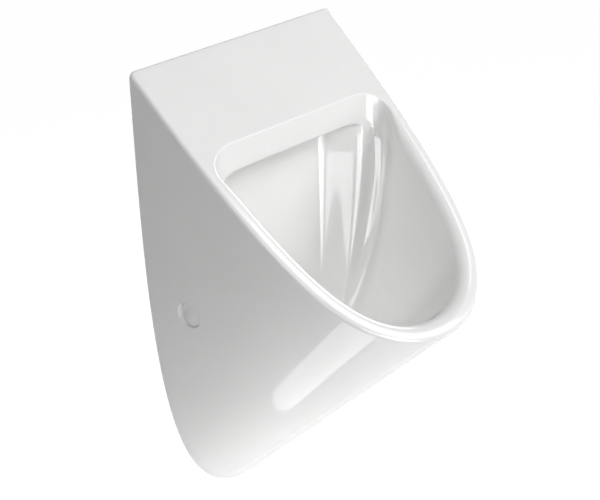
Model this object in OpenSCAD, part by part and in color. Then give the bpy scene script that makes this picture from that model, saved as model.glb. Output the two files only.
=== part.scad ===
// Wall hung urinal: a vitreous china body held by two hidden wall brackets,
// with its concealed inlet, waste, bottle trap, side screws and screw covers.
//
// The wall is the plane y = 0, the front faces -y and z is up.
// The axis of the outlet meets the wall at the origin.

/* [China body] */
// Width across the body
body_w = 350; // [335:1:370]
// Height of the wall outline, from the top edge to the sharp lower tip
body_h = 590; // [570:1:610]
// Reach of the front lip from the wall, before its edge is rounded
body_d = 325; // [315:1:335]
// Depth of the sharp lower tip under the axis of the outlet
tip_drop = 150; // [146:1:160]
// Rise of the front lip over the axis of the outlet
lip_rise = 140; // [128:1:152]
// Thickness of the china walls
china_t = 12; // [10:0.5:13]
// Width of the flat land on the top edge
top_land = 3; // [2:0.5:5]
// Radius of the edge between the sloped face and the sides
rim_edge_r = 6; // [4:0.5:8]
// Radius of the edge that meets the wall
wall_edge_r = 3; // [2:0.5:4]
// Radius of the two top corners, seen from the front
corner_r = 9; // [7:0.5:14]

/* [Opening and bowl] */
// Flat border between the outer edge and the opening
rim_flat = 12.5; // [10:0.5:15]
// Radius that rolls the border down into the bowl
rim_roll_r = 16; // [12:0.5:18]
// Straight depth of the bowl wall under the roll
rim_depth = 20; // [16:1:24]
// Distance down the slope, past the opening's top, where its edge starts to roll
roll_from = 14; // [10:1:18]
// Distance over which that edge turns into the full roll
roll_run = 60; // [50:1:75]
// Distance down the slope from the top edge to the opening
opening_drop = 122; // [116:1:128]
// Width of each upper corner curve of the opening
opening_corner_w = 47; // [40:1:55]
// Height of each upper corner curve of the opening
opening_corner_h = 38; // [32:1:44]
// Height of the ledge that hides the flush holes
ledge_h = 38; // [34:1:42]
// Radius of the upper edge of the ledge
ledge_edge_r = 3; // [2:0.5:4]
// Radius of the lower lip of the ledge
ledge_lip_r = 4; // [3:0.5:5]
// Half length of the ledge at its full depth
ledge_half_l = 84; // [76:1:92]
// Half length of the ledge where the hollow under it has faded out
ledge_fade_l = 128; // [118:1:136]
// Distance from the wall to the upper part of the bowl's back
bowl_back = 50; // [46:1:54]
// Rise of the bowl floor over the axis of the outlet
floor_rise = 62; // [60:1:68]
// Radius of the level floor round the waste
floor_r = 40; // [38:0.5:44]
// Distance of the waste axis from the wall
waste_reach = 115; // [113:1:120]
// Thickness of the china under the waste
boss_t = 14; // [12:0.5:16]

/* [Flush channel] */
// Drop of the inlet axis below the top edge
inlet_drop = 80; // [77:1:83]
// Diameter of the inlet hole in the china
inlet_hole_d = 36; // [34:0.5:38]
// Depth of the recess behind the inlet
inlet_recess = 22; // [20:1:24]
// Thickness of the web between the recess and the channel
channel_web = 8; // [7:0.5:10]
// Thickness of the ledge in front of and under the channel
ledge_t = 9; // [8:0.5:11]
// Diameter of a flush hole
flush_hole_d = 7; // [5:0.5:9]
// Number of flush holes
flush_holes = 7; // [3:2:7]
// Distance between two flush holes
flush_pitch = 24; // [18:1:26]

/* [Side fixings] */
// Distance of the side screws from the wall
fixing_reach = 61; // [56:1:64]
// Rise of the side screws over the axis of the outlet
fixing_rise = 149; // [140:1:158]
// Diameter of the recess round a side screw
recess_d = 32; // [30:0.5:34]
// Depth of that recess under the skin, on its axis
recess_depth = 13; // [12:0.5:14]
// Thickness of the china clamped under the recess
fixing_web = 8.5; // [8:0.5:10]
// Diameter of the thicker pad behind it
pad_d = 48; // [44:1:50]
// Diameter of the hole through the clamped china
fixing_hole_d = 18; // [16:0.5:19]
// Thickness of the flange of the plastic bush
bush_t = 2; // [1.5:0.5:3]
// Diameter of the washer under the screw head
washer_d = 24; // [20:0.5:25]
// Thickness of the washer
washer_t = 1.6; // [1.2:0.1:2]
// Thread diameter of the side screw
screw_d = 8; // [7:0.5:8]
// Length of the side screw under its head
screw_l = 25; // [24:1:28]
// Diameter of the screw head
screw_head_d = 15; // [13:0.5:16]
// Height of the screw head
screw_head_h = 5; // [4:0.5:5]
// Width across the flats of the bracket nut
bracket_nut_w = 13; // [12:0.5:15]
// Height of the bracket nut
bracket_nut_h = 6.5; // [5:0.5:7]
// Wall of the plastic cap
cap_t = 1.8; // [1.2:0.1:2]
// Rise of the cap's dome over its rim
cap_dome_h = 2.5; // [2:0.25:3]

/* [Wall brackets] */
// Thickness of the steel
bracket_t = 3; // [2.5:0.5:4]
// Height of the arm that carries the china
arm_h = 44; // [36:1:48]
// Height of the plate on the wall
plate_h = 72; // [66:1:80]
// Distance of the wall screws from the outer face of the arm
wall_hole_in = 28; // [22:1:34]
// Distance between the upper and the lower wall screw
wall_pitch = 44; // [40:1:48]
// Diameter of the wall screw holes
wall_hole_d = 9; // [8:0.5:10]
// Edge of the plate past the wall screw holes
plate_edge = 16; // [12:1:18]
// Reach of the stiffening web from the wall
gusset_reach = 42; // [36:1:46]

/* [Waste] */
// Diameter of the waste hole in the china
waste_hole_d = 40; // [39:0.5:44]
// Diameter of the waste flange
waste_flange_d = 68; // [66:1:74]
// Thickness of the waste flange
waste_flange_t = 3; // [2.5:0.5:4]
// Diameter of the seat for the strainer
strainer_seat_d = 60; // [56:1:62]
// Depth of the seat for the strainer
strainer_seat_t = 1.5; // [1:0.25:1.5]
// Thickness of the strainer plate
strainer_t = 1.5; // [1.2:0.1:2]
// Rise of the strainer's dome
strainer_dome_h = 5; // [3:0.5:7]
// Diameter of the strainer's holes
strainer_hole_d = 4; // [3:0.5:4.5]
// Distance between the rings of strainer holes
strainer_pitch = 7.5; // [7:0.5:8]
// Diameter of the threaded tail
tail_d = 35; // [33:0.5:36]
// Wall of the threaded tail
tail_t = 2.5; // [2:0.5:3]
// Thickness of the seal over the china
upper_seal_t = 2; // [1.5:0.5:3]
// Thickness of the seal under the china
lower_seal_t = 3; // [2:0.5:4]
// Diameter of the seal under the china
lower_seal_d = 60; // [56:1:64]
// Width across the flats of the waste nut
waste_nut_w = 50; // [46:1:54]
// Height of the waste nut
waste_nut_h = 9; // [7:0.5:9]

/* [Trap] */
// Distance of the bottle's axis from the wall
trap_reach = 46; // [45:0.5:47]
// Rise of the trap's inlet over its outlet
trap_rise = 6; // [5:0.5:6.5]
// Outer diameter of the bottle
bottle_d = 58; // [56:0.5:59]
// Wall of the moulded trap pieces
trap_t = 3; // [2.5:0.25:3]
// Height of the bottle over the outlet axis
bottle_top = 26; // [25:0.5:28]
// Depth of the bottle under the outlet axis
bottle_drop = 36; // [35:0.5:37]
// Depth of the cup under the outlet axis
cup_drop = 58; // [54:1:60]
// Height of the cup's threaded collar
collar_h = 12; // [10:0.5:12]
// Thickness of the cup's seal
cup_seal_t = 2; // [1.5:0.5:2]
// Outer diameter of the dip tube
dip_d = 30; // [28:0.5:31]
// Depth of the dip tube under the outlet axis
dip_drop = 48; // [44:1:50]
// Outer diameter of the trap's pipes
pipe_d = 32; // [30:0.5:32]
// Wall of the trap's pipes
pipe_t = 2; // [1.5:0.25:2.5]
// Radius of the elbow's axis
elbow_r = 17; // [16.5:0.5:18]
// Depth of the elbow's socket
socket_l = 12; // [10:0.5:12]
// Length of the threaded inlet boss past the bottle
inlet_boss_l = 13; // [12:0.5:14]
// Distance of the threaded outlet boss from the wall
outlet_boss_gap = 8; // [7:0.5:9]
// Thickness of the ring seals in the union nuts
ring_seal_t = 3; // [2:0.5:3]
// Thickness of the lip of a union nut
nut_lip_t = 2; // [1.5:0.5:2.5]
// Wall of a union nut
nut_wall = 4; // [3:0.5:4.5]
// Outer diameter of the outlet in the wall
outlet_d = 40; // [38:0.5:50]
// Length of the outlet in the wall
outlet_l = 35; // [30:1:45]

/* [Inlet] */
// Outer diameter of the supply pipe
inlet_d = 20; // [18:0.5:21]
// Wall of the supply pipe
inlet_t = 1.5; // [1:0.25:2]
// Length of the supply pipe in the wall
inlet_l = 30; // [25:1:40]
// Outer diameter of the threaded spud
spud_d = 25; // [24:0.5:27]
// Reach of the spud into the channel, past the web
spud_reach = 14; // [12:0.5:16]
// Thickness of the spud's front flange
spud_flange_t = 3; // [2:0.5:4]
// Room round the spud's flange as it goes in through the hole
spud_flange_gap = 1; // [0.5:0.25:1.5]
// Distance of the spud's rear end from the wall
spud_gap = 6; // [5:0.5:7]
// Width of the inlet seal's flange past the hole
inlet_seal_edge = 3; // [2:0.5:4]
// Thickness of the inlet seal's flange
inlet_seal_t = 4; // [3:0.5:5]
// Thickness of the inlet washer
inlet_washer_t = 1.5; // [1:0.25:2]
// Width across the flats of the inlet nut
inlet_nut_w = 36; // [34:0.5:38]
// Height of the inlet nut
inlet_nut_h = 8; // [6:0.5:9]
// Thickness of the collar that stops the supply pipe at the wall
pipe_collar_t = 4; // [3:0.5:4.5]
// Width of that collar past the pipe
pipe_collar_edge = 3; // [2:0.5:4]

/* [Hidden] */
top_z = body_h - tip_drop;
lip_drop = top_z - lip_rise;
slope_l = norm([body_d - top_land, lip_drop]);
slope_a = atan2(body_d - top_land, lip_drop);
overrun = 1;

// Shares of half the width and of the length of each outline: the sloped face
// and the wall outline are fourth order curves from the top corner to the tip.
face_shares = [[1, 0], [1, 0.914], [0.627, 0.826], [0.55, 1], [0, 1]];
wall_shares = [[1, 0], [1, 0.48], [1, 1], [0.38, 1], [0, 1]];

// Directions on the sloped face: out of it, and down it.
face_out = [0, -cos(slope_a), sin(slope_a)];
face_down = [0, -sin(slope_a), -cos(slope_a)];
wall_out = [0, 1, 0];
up = [0, 0, 1];

function unit(v) = v / norm(v);
function mix(a, b, t) = a * (1 - t) + b * t;
function smooth(t) = let(c = max(0, min(1, t))) c * c * (3 - 2 * c);
function flip(p) = [-p.x, p.y, p.z];

// A point of a Bezier curve of any order, and its first derivative.
function bezier(p, t) = len(p) == 1 ? p[0] : bezier([for (i = [0:len(p) - 2]) mix(p[i], p[i + 1], t)], t);
function bezier_run(p, t) = (len(p) - 1) * bezier([for (i = [0:len(p) - 2]) p[i + 1] - p[i]], t);

// Where the tangent of an outline meets the line of the top edge, as the
// inverse of its distance from the middle: 1 at the corner, 0 at the tip.
function reach(p, t) = let(q = bezier(p, t), d = bezier_run(p, t)) d.y / (q.x * d.y - q.y * d.x);
function match(p, want, lo = 0, hi = 1, n = 26) =
    let(mid = (lo + hi) / 2)
    n == 0 ? mid : reach(p, mid) > want ? match(p, want, mid, hi, n - 1) : match(p, want, lo, mid, n - 1);
function drop_at(p, want, lo = 0, hi = 1, n = 26) =
    let(mid = (lo + hi) / 2)
    n == 0 ? mid
    : bezier(p, mid).y < want ? drop_at(p, want, mid, hi, n - 1)
    : drop_at(p, want, lo, mid, n - 1);

// Points of the sloped face and of the wall outline, from flat coordinates:
// x across and y down from the top edge.
function on_face(p) = [p.x, -top_land, top_z] + face_down * p.y;
function on_wall(p) = [p.x, 0, top_z - p.y];
function face_point(t) = let(q = bezier(face_shares, t)) [q.x * body_w / 2, q.y * slope_l];
function face_side(t) = let(d = bezier_run(face_shares, t)) unit([d.y * slope_l, -d.x * body_w / 2]);
function wall_point(t) = let(q = bezier(wall_shares, t)) [q.x * body_w / 2, q.y * body_h];
function wall_run(t) = let(d = bezier_run(wall_shares, t)) unit([d.x * body_w / 2, d.y * body_h]);

// Stations go round half of each outline, from the middle of the top edge to
// the tip: along the top, round the corner, down the upper side and on down.
TOP_STEPS = 8;
ARC_STEPS = 3;
UPPER_STEPS = 5;
LOWER_STEPS = 22;
CORNER_STEPS = ARC_STEPS + UPPER_STEPS;
LAST = TOP_STEPS + CORNER_STEPS + LOWER_STEPS;

// The opening keeps a flat border along the sides. Its corners are quarter
// ellipses that end where the border has come down to the corner's height.
opening_t = drop_at(face_shares, (opening_drop + opening_corner_h) / slope_l);
opening_side = face_point(opening_t) - rim_flat * face_side(opening_t);
opening_top_w = opening_side.x - opening_corner_w;

side_t = concat([for (k = [1:UPPER_STEPS]) opening_t * k / UPPER_STEPS],
                [for (k = [1:LOWER_STEPS]) mix(opening_t, 1, k / LOWER_STEPS)]);
side_wall_t = [for (t = side_t) match(wall_shares, reach(face_shares, t))];

function top_corner(a, r) = [body_w / 2 - corner_r + r * sin(a), corner_r - r * cos(a)];
function arc_angle(i) = 90 * (i - TOP_STEPS) / ARC_STEPS;

// The two outlines at station i, and the direction of the wall outline there.
function face_2d(i) =
    i <= TOP_STEPS ? [(body_w / 2 - corner_r) * i / TOP_STEPS, 0]
    : i <= TOP_STEPS + ARC_STEPS ? top_corner(arc_angle(i), corner_r)
    : face_point(side_t[i - TOP_STEPS - ARC_STEPS - 1]);
function wall_2d(i) =
    i <= TOP_STEPS + ARC_STEPS ? face_2d(i) : wall_point(side_wall_t[i - TOP_STEPS - ARC_STEPS - 1]);
function wall_dir(i) =
    i <= TOP_STEPS ? [1, 0]
    : i <= TOP_STEPS + ARC_STEPS ? [cos(arc_angle(i)), sin(arc_angle(i))]
    : wall_run(side_wall_t[i - TOP_STEPS - ARC_STEPS - 1]);

// The opening at station i, and its direction away from the middle.
function opening_angle(i) = 90 * (i - TOP_STEPS) / CORNER_STEPS;
function opening_2d(i) =
    i <= TOP_STEPS ? [opening_top_w * i / TOP_STEPS, opening_drop]
    : i <= TOP_STEPS + CORNER_STEPS
        ? [opening_top_w + opening_corner_w * sin(opening_angle(i)),
           opening_side.y - (opening_side.y - opening_drop) * cos(opening_angle(i))]
    : let(t = side_t[i - TOP_STEPS - ARC_STEPS - 1]) face_point(t) - rim_flat * face_side(t);
function opening_side_dir(i) =
    i <= TOP_STEPS ? [0, -1]
    : i <= TOP_STEPS + CORNER_STEPS
        ? unit([sin(opening_angle(i)) / opening_corner_w,
                -cos(opening_angle(i)) / (opening_side.y - opening_drop)])
    : face_side(side_t[i - TOP_STEPS - ARC_STEPS - 1]);

// Skin between the two outlines: where they are paired by their tangents it
// bends one way only, and its normal is square to the rule and the outline.
FACE = [for (i = [0:LAST]) on_face(face_2d(i))];
WALL = [for (i = [0:LAST]) on_wall(wall_2d(i))];
SKIN_OUT = [for (i = [0:LAST]) let(d = wall_dir(i)) unit(cross(FACE[i] - WALL[i], [d.x, 0, -d.y]))];

// Rounds an edge between two faces with normals a and b.
function edge_centre(p, a, b, r) = p - r * (a + b) / (1 + a * b);
function edge_point(p, a, b, r, t) = edge_centre(p, a, b, r) + r * unit(mix(a, b, t));

// Distance of a point under the skin, over both halves.
function skin_depth(p) = min([for (i = [0:LAST]) (WALL[i] - [abs(p.x), p.y, p.z]) * SKIN_OUT[i]]);
function skin_nearest(p) =
    let(d = [for (i = [0:LAST]) (WALL[i] - p) * SKIN_OUT[i]], least = min(d))
    [for (i = [0:LAST]) if (d[i] == least) SKIN_OUT[i]][0];

// Bowl section at station i: the edge of the opening, turned down the face of
// the ledge and back under it, or rolled down to the side wall. The hollow
// under the ledge fades out before the corner, and the roll starts in it.
// Each section lies in an upright plane that is square to the edge in plan.
waste_axis = [0, -waste_reach, 0];
floor_z = floor_rise;
function roll_share(i) = smooth((opening_2d(i).y - opening_drop - roll_from) / roll_run);
function hollow_share(i) = smooth((ledge_fade_l - opening_2d(i).x) / (ledge_fade_l - ledge_half_l));
function ledge_depth_share(i) = sqrt(max(0, 1 - pow(opening_2d(i).x / (body_w / 2), 2)));
function opening_out(i) = let(d = opening_side_dir(i)) [d.x, 0, 0] + face_down * d.y;
function opening_run(i) = let(d = opening_side_dir(i)) [-d.y, 0, 0] + face_down * d.x;
function plan_run(i) = let(d = opening_run(i)) unit([d.x, d.y, 0]);
function plan_in(i) = let(d = plan_run(i)) [d.y, -d.x, 0];
function plumb(i, v) = v - opening_run(i) * (v * plan_run(i)) / (opening_run(i) * plan_run(i));
function roll_point(i, a) =
    on_face(opening_2d(i)) + plumb(i, rim_roll_r * ((cos(a) - 1) * face_out - sin(a) * opening_out(i)));
roll_angles = [28, 56, 84];
roll_end_a = roll_angles[2];
RIM_STEPS = 5;
RIM_LAST = len(roll_angles) + RIM_STEPS - 1;
function roll_end_dir(i) = plumb(i, -sin(roll_end_a) * face_out - cos(roll_end_a) * opening_out(i));

function ledge_section(i) =
    let(h = plan_in(i),
        c = on_face(opening_2d(i)) - ledge_edge_r * face_out,
        face_top = c + ledge_edge_r * h,
        face_end = face_top - up * (ledge_h - ledge_edge_r - ledge_lip_r),
        lip = face_end - h * ledge_lip_r,
        deep = opening_back * ledge_depth_share(i),
        back = lip - up * ledge_lip_r - h * max(deep - ledge_lip_r - under_r, ledge_lip_r),
        under = [lip + ledge_lip_r * unit(h - up), lip - ledge_lip_r * up, back, back - under_r * (h + up)],
        n = len(under),
        plain = [for (k = [1:n]) face_end - up * (ledge_lip_r + under_r) * k / n])
    concat([for (t = [1 / 3, 2 / 3, 1]) c + ledge_edge_r * unit(mix(face_out, h, t))],
           [face_end],
           [for (k = [0:n - 1]) mix(plain[k], under[k], hollow_share(i))]);
function side_section(i) =
    let(q = roll_point(i, roll_end_a), d = roll_end_dir(i))
    concat([for (a = roll_angles) roll_point(i, a)],
           [for (k = [1:RIM_STEPS]) q + d * rim_depth * k / RIM_STEPS]);

// How far the bowl's back lies behind the face of the ledge, and the radius
// of the corner under the ledge.
opening_back = -on_face([0, opening_drop]).y - bowl_back;
under_r = ledge_lip_r * 2;

function wall_start(i) = mix(ledge_section(i)[RIM_LAST], side_section(i)[RIM_LAST], roll_share(i));
function waste_dir(i) =
    let(d = wall_start(i) - waste_axis)
    i == 0 ? [0, 1, 0] : i == LAST ? [0, -1, 0] : unit([d.x, d.y, 0]);
function floor_edge(i) = waste_axis + waste_dir(i) * floor_r + up * floor_z;

// The four control points of the bowl wall at station i.
wall_pull_share = 0.34;
floor_pull_share = 0.42;
floor_rise_share = 0.05;
function bowl_curve(i) =
    let(start = wall_start(i),
        dir = unit(mix(-up, unit(roll_end_dir(i)), roll_share(i))),
        end = floor_edge(i),
        span = norm(start - end),
        flat_span = norm([start.x - end.x, start.y - end.y]))
    [start, start + dir * span * wall_pull_share,
     end + waste_dir(i) * flat_span * floor_pull_share + up * flat_span * floor_rise_share, end];
BOWL = [for (i = [0:LAST]) bowl_curve(i)];

// Bowl wall at station i and share v, and the same wall's far side.
function bowl_at(i, v) =
    i < 0 ? flip(bezier(BOWL[-i], v)) : i > LAST ? flip(bezier(BOWL[2 * LAST - i], v)) : bezier(BOWL[i], v);
offset_end_share = 0.97;
function bowl_behind(i, v) =
    let(e = min(v, offset_end_share),
        run = bezier_run(BOWL[i], e),
        side = bowl_at(i + 1, e) - bowl_at(i - 1, e))
    bowl_at(i, v) + china_t * unit(cross(side, run));

// Where the bowl wall has come far enough from the skin for a hollow between.
hollow_gap_share = 0.75;
hollow_gap = china_t * hollow_gap_share;
hollow_end_share = 0.94;
function hollow_start(i, lo = 0, hi = hollow_end_share, n = 12) =
    let(mid = (lo + hi) / 2)
    n == 0 ? hi
    : skin_depth(bowl_at(i, mid)) < 2 * china_t + hollow_gap ? hollow_start(i, mid, hi, n - 1)
    : hollow_start(i, lo, mid, n - 1);
HOLLOW = [for (i = [0:LAST]) i <= TOP_STEPS + ARC_STEPS ? 0 : hollow_start(i)];

// Hollow side of the shell at station i: from the wall forward inside the
// skin, round the crotch between skin and bowl, and down behind the bowl.
hollow_r = china_t;
band_top_share = 4 / 3;
band_top = china_t * band_top_share;
recess_drop_share = 0.82;
recess_drop = inlet_recess * recess_drop_share;
fold_in_share = 0.7;
fold_down_share = 0.85;
function band_inner(i) =
    let(p = wall_2d(i), d = wall_dir(i), out = [d.y, 0, d.x])
    i <= TOP_STEPS ? [(body_w / 2 - china_t - hollow_r) * i / TOP_STEPS, 0, top_z - band_top]
    : i <= TOP_STEPS + ARC_STEPS
        ? let(a = arc_angle(i))
          [body_w / 2 - china_t - hollow_r * (1 - sin(a)), 0, top_z - band_top - hollow_r * (1 - cos(a))]
    : WALL[i] - out * china_t / (SKIN_OUT[i] * out);
function behind_top(i) = bowl_behind(i, HOLLOW[i]);
function crotch(i) =
    let(b = behind_top(i), n = skin_nearest(b),
        t = smooth((i - TOP_STEPS - ARC_STEPS) / UPPER_STEPS))
    mix(band_inner(i) - [0, inlet_recess, recess_drop], b + n * (skin_depth(b) - china_t), t);
BEHIND_STEPS = 7;
function hollow_section(i) =
    let(k = crotch(i), b = behind_top(i), top = i <= TOP_STEPS + ARC_STEPS)
    concat([band_inner(i), k],
           [top ? [mix(k.x, b.x, fold_in_share), k.y, mix(k.z, b.z, fold_down_share)]
                : mix(k, b, 0.5) - unit(bezier_run(BOWL[i], HOLLOW[i])) * hollow_gap / 3],
           [for (k = [0:BEHIND_STEPS]) bowl_behind(i, mix(HOLLOW[i], 1, k / (BEHIND_STEPS + 1)))],
           [[0, 0, -boss_t] + floor_edge(i)]);

// The whole section at station i, from the bowl floor over the rim, the skin
// and the wall band to the underside of the waste boss.
BOWL_STEPS = 11;
function section(i) =
    let(s = roll_share(i), a = ledge_section(i), b = side_section(i))
    concat([for (k = [BOWL_STEPS:-1:1]) bowl_at(i, k / BOWL_STEPS)],
           [for (k = [RIM_LAST:-1:0]) mix(a[k], b[k], s)],
           [on_face(opening_2d(i))],
           [for (t = [0, 1 / 3, 2 / 3, 1]) edge_point(FACE[i], face_out, SKIN_OUT[i], rim_edge_r, t)],
           [for (t = [0, 0.5, 1]) edge_point(WALL[i], SKIN_OUT[i], wall_out, wall_edge_r, t)],
           hollow_section(i));
SECTIONS = [for (i = [0:LAST]) section(i)];
RING = concat(SECTIONS, [for (i = [LAST - 1:-1:1]) [for (p = SECTIONS[i]) flip(p)]]);

module china_shell() {
    n = len(RING);
    m = len(RING[0]);
    sides = [for (i = [0:n - 1], j = [0:m - 2], half = [0, 1])
        let(a = i * m + j, b = ((i + 1) % n) * m + j)
        half == 0 ? [a, b + 1, b] : [a, a + 1, b + 1]];
    floor_cap = [for (i = [0:n - 1]) i * m];
    boss_cap = [for (i = [n - 1:-1:0]) i * m + m - 1];
    polyhedron([for (s = RING, p = s) p], concat(sides, [floor_cap, boss_cap]), convexity = 12);
}

// Clearances: round pieces that fit in one another, a loose seat under a
// piece that lifts or pulls off, and room round something that passes through.
fit_gap = 0.1;
seat_gap = 0.3;
pass_gap = 0.5;
chamfer = 1;
hex_socket_share = 0.75;
DOME_STEPS = 10;
$fn = 64;

// Heights and distances that several pieces share.
inlet_z = top_z - inlet_drop;
fixing_z = fixing_rise;
boss_z = floor_z - boss_t;
ledge_face_y = ledge_section(0)[3].y;
ledge_under_z = ledge_section(0)[5].z;
web_y = -inlet_recess;
channel_back_y = web_y - channel_web;
channel_front_y = ledge_face_y + ledge_t;
channel_floor_z = ledge_under_z + ledge_t;
function channel_roof_z(y) = top_z - (china_t + face_out.y * (y + top_land)) / face_out.z;

function skin_x(y, z) =
    let(p = [body_w / 2 - 2 * china_t, y, z])
    p.x + skin_depth(p) / skin_nearest(p).x;
fixing_skin_x = skin_x(-fixing_reach, fixing_z);
recess_x = fixing_skin_x - recess_depth;
pad_x = recess_x - fixing_web;

// Points of an arc, for the profiles of turned pieces.
function arc(c, r, from, to, n) =
    [for (k = [0:n]) let(a = mix(from, to, k / n)) c + r * [cos(a), sin(a)]];
// Radius of a dome of a given half width and rise.
function dome_r(half_w, h) = (half_w * half_w + h * h) / (2 * h);
function dome_arc(half_w, h, base, n) =
    let(r = dome_r(half_w, h), c = [0, base + h - r])
    arc(c, r, atan2(r - h, half_w), 90, n);

module along_x() rotate([0, 90, 0]) children();
module along_y() rotate([-90, 0, 0]) children();
module on_plane_x() rotate([90, 0, 90]) children();
module on_side(side) {
    if (side < 0) mirror([1, 0, 0]) children();
    else children();
}
module at_fixing(x) translate([x, -fixing_reach, fixing_z]) along_x() children();
module at_waste(z) translate([0, -waste_reach, z]) children();
module at_trap(z) translate([0, -trap_reach, z]) children();
module on_outlet(y) translate([0, y, 0]) along_y() children();
module on_trap_inlet(y) translate([0, y, trap_rise]) along_y() children();
module on_inlet(y) translate([0, y, inlet_z]) along_y() children();

// A plain ring, and a hexagonal nut, both about z from z = 0.
module ring(d, bore, h) difference() {
    cylinder(d = d, h = h);
    translate([0, 0, -overrun]) cylinder(d = bore, h = h + 2 * overrun);
}
module hex_nut(w, bore, h) difference() {
    cylinder(d = w / cos(180 / 6), h = h, $fn = 6);
    translate([0, 0, -overrun]) cylinder(d = bore, h = h + 2 * overrun);
}

// The china body: the shell with a pad behind each side screw, the channel
// that spreads the flush water, and every hole.
module flush_channel() {
    on_plane_x() linear_extrude(height = 2 * ledge_half_l, center = true)
        polygon([[channel_back_y, channel_floor_z], [channel_front_y, channel_floor_z],
                 [channel_front_y, channel_roof_z(channel_front_y)],
                 [channel_back_y, channel_roof_z(channel_back_y)]]);
}
flush_row_y = channel_front_y + flush_hole_d;
module flush_row() {
    for (k = [0:flush_holes - 1])
        translate([(k - (flush_holes - 1) / 2) * flush_pitch, flush_row_y, ledge_under_z - overrun])
            cylinder(d = flush_hole_d, h = ledge_t + 2 * overrun);
}
module ceramic_body() color("white") difference() {
    union() {
        china_shell();
        for (side = [-1, 1])
            on_side(side) at_fixing(pad_x) cylinder(d = pad_d, h = fixing_web + recess_depth / 2);
    }
    flush_channel();
    flush_row();
    on_inlet(channel_back_y - overrun) cylinder(d = inlet_hole_d, h = channel_web + 2 * overrun);
    at_waste(boss_z - overrun) cylinder(d = waste_hole_d, h = boss_t + 2 * overrun);
    for (side = [-1, 1]) on_side(side) {
        at_fixing(pad_x - overrun) cylinder(d = fixing_hole_d, h = fixing_web + 2 * overrun);
        at_fixing(recess_x) cylinder(d = recess_d, h = 2 * recess_depth);
    }
}

// Side fixing, from the wall side outwards: bracket, nut, screw, washer,
// bush and cap. The screw clamps the china between bush and bracket.
washer_x = recess_x + bush_t;
head_x = washer_x + washer_t;
cap_x = washer_x + seat_gap;
cap_d = recess_d - 2 * pass_gap;
cap_bore_h = head_x + screw_head_h + pass_gap - cap_x;
screw_hole_d = screw_d + 2 * pass_gap;
arm_x = pad_x - bracket_t;
wall_hole_x = pad_x - wall_hole_in;

module side_bush(side) color("whitesmoke") on_side(side) at_fixing(recess_x) difference() {
    union() {
        cylinder(d = cap_d, h = bush_t);
        translate([0, 0, chamfer - fixing_web])
            cylinder(d = fixing_hole_d - 2 * fit_gap, h = fixing_web - chamfer);
    }
    translate([0, 0, -fixing_web]) cylinder(d = screw_hole_d, h = fixing_web + bush_t + overrun);
}
module side_washer(side) color("silver") on_side(side) at_fixing(washer_x)
    ring(washer_d, screw_hole_d, washer_t);
module side_screw(side) color("gainsboro") on_side(side) at_fixing(head_x) {
    translate([0, 0, -screw_l]) cylinder(d = screw_d, h = screw_l);
    difference() {
        cylinder(d1 = screw_head_d, d2 = screw_head_d - 2 * chamfer, h = screw_head_h);
        translate([0, 0, screw_head_h / 2])
            cylinder(d = screw_d * hex_socket_share, h = screw_head_h, $fn = 6);
    }
}
module side_cap(side) color("white") on_side(side) at_fixing(cap_x) rotate_extrude()
    polygon(concat(
        [[cap_d / 2, 0]],
        dome_arc(cap_d / 2, cap_dome_h, cap_bore_h + cap_t - cap_dome_h + chamfer, DOME_STEPS),
        [[0, cap_bore_h], [cap_d / 2 - cap_t - chamfer, cap_bore_h],
         [cap_d / 2 - cap_t, cap_bore_h - chamfer], [cap_d / 2 - cap_t, 0]]));
module bracket_nut(side) color("silver") on_side(side) at_fixing(arm_x - bracket_nut_h)
    hex_nut(bracket_nut_w, screw_d + 2 * fit_gap, bracket_nut_h);
module wall_bracket(side) color("lightsteelblue") on_side(side) difference() {
    union() {
        at_fixing(arm_x) cylinder(d = arm_h, h = bracket_t);
        translate([arm_x, -fixing_reach, fixing_z - arm_h / 2]) cube([bracket_t, fixing_reach, arm_h]);
        translate([wall_hole_x - plate_edge, -bracket_t, fixing_z - plate_h / 2])
            cube([pad_x - wall_hole_x + plate_edge, bracket_t, plate_h]);
        translate([0, 0, fixing_z - bracket_t / 2]) linear_extrude(height = bracket_t)
            polygon([[wall_hole_x - plate_edge, -bracket_t], [arm_x, -gusset_reach], [arm_x, -bracket_t]]);
    }
    at_fixing(arm_x - overrun) cylinder(d = screw_hole_d, h = bracket_t + 2 * overrun);
    for (k = [-1, 1])
        translate([wall_hole_x, -bracket_t - overrun, fixing_z + k * wall_pitch / 2]) along_y()
            cylinder(d = wall_hole_d, h = bracket_t + 2 * overrun);
}

// Waste: a flange and its tail clamp the china between two seals, and the
// strainer lies loose in the flange.
elbow_z = trap_rise + elbow_r;
tail_end_z = elbow_z + pipe_t;
flange_z = floor_z + upper_seal_t;
seat_z = flange_z + waste_flange_t - strainer_seat_t;
lower_seal_z = boss_z - lower_seal_t;
tail_bore_d = tail_d - 2 * tail_t;
tail_hole_d = tail_d + 2 * fit_gap;
strainer_d = strainer_seat_d - 2 * pass_gap;
strainer_rings = 3;
ring_holes = 6;

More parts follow.
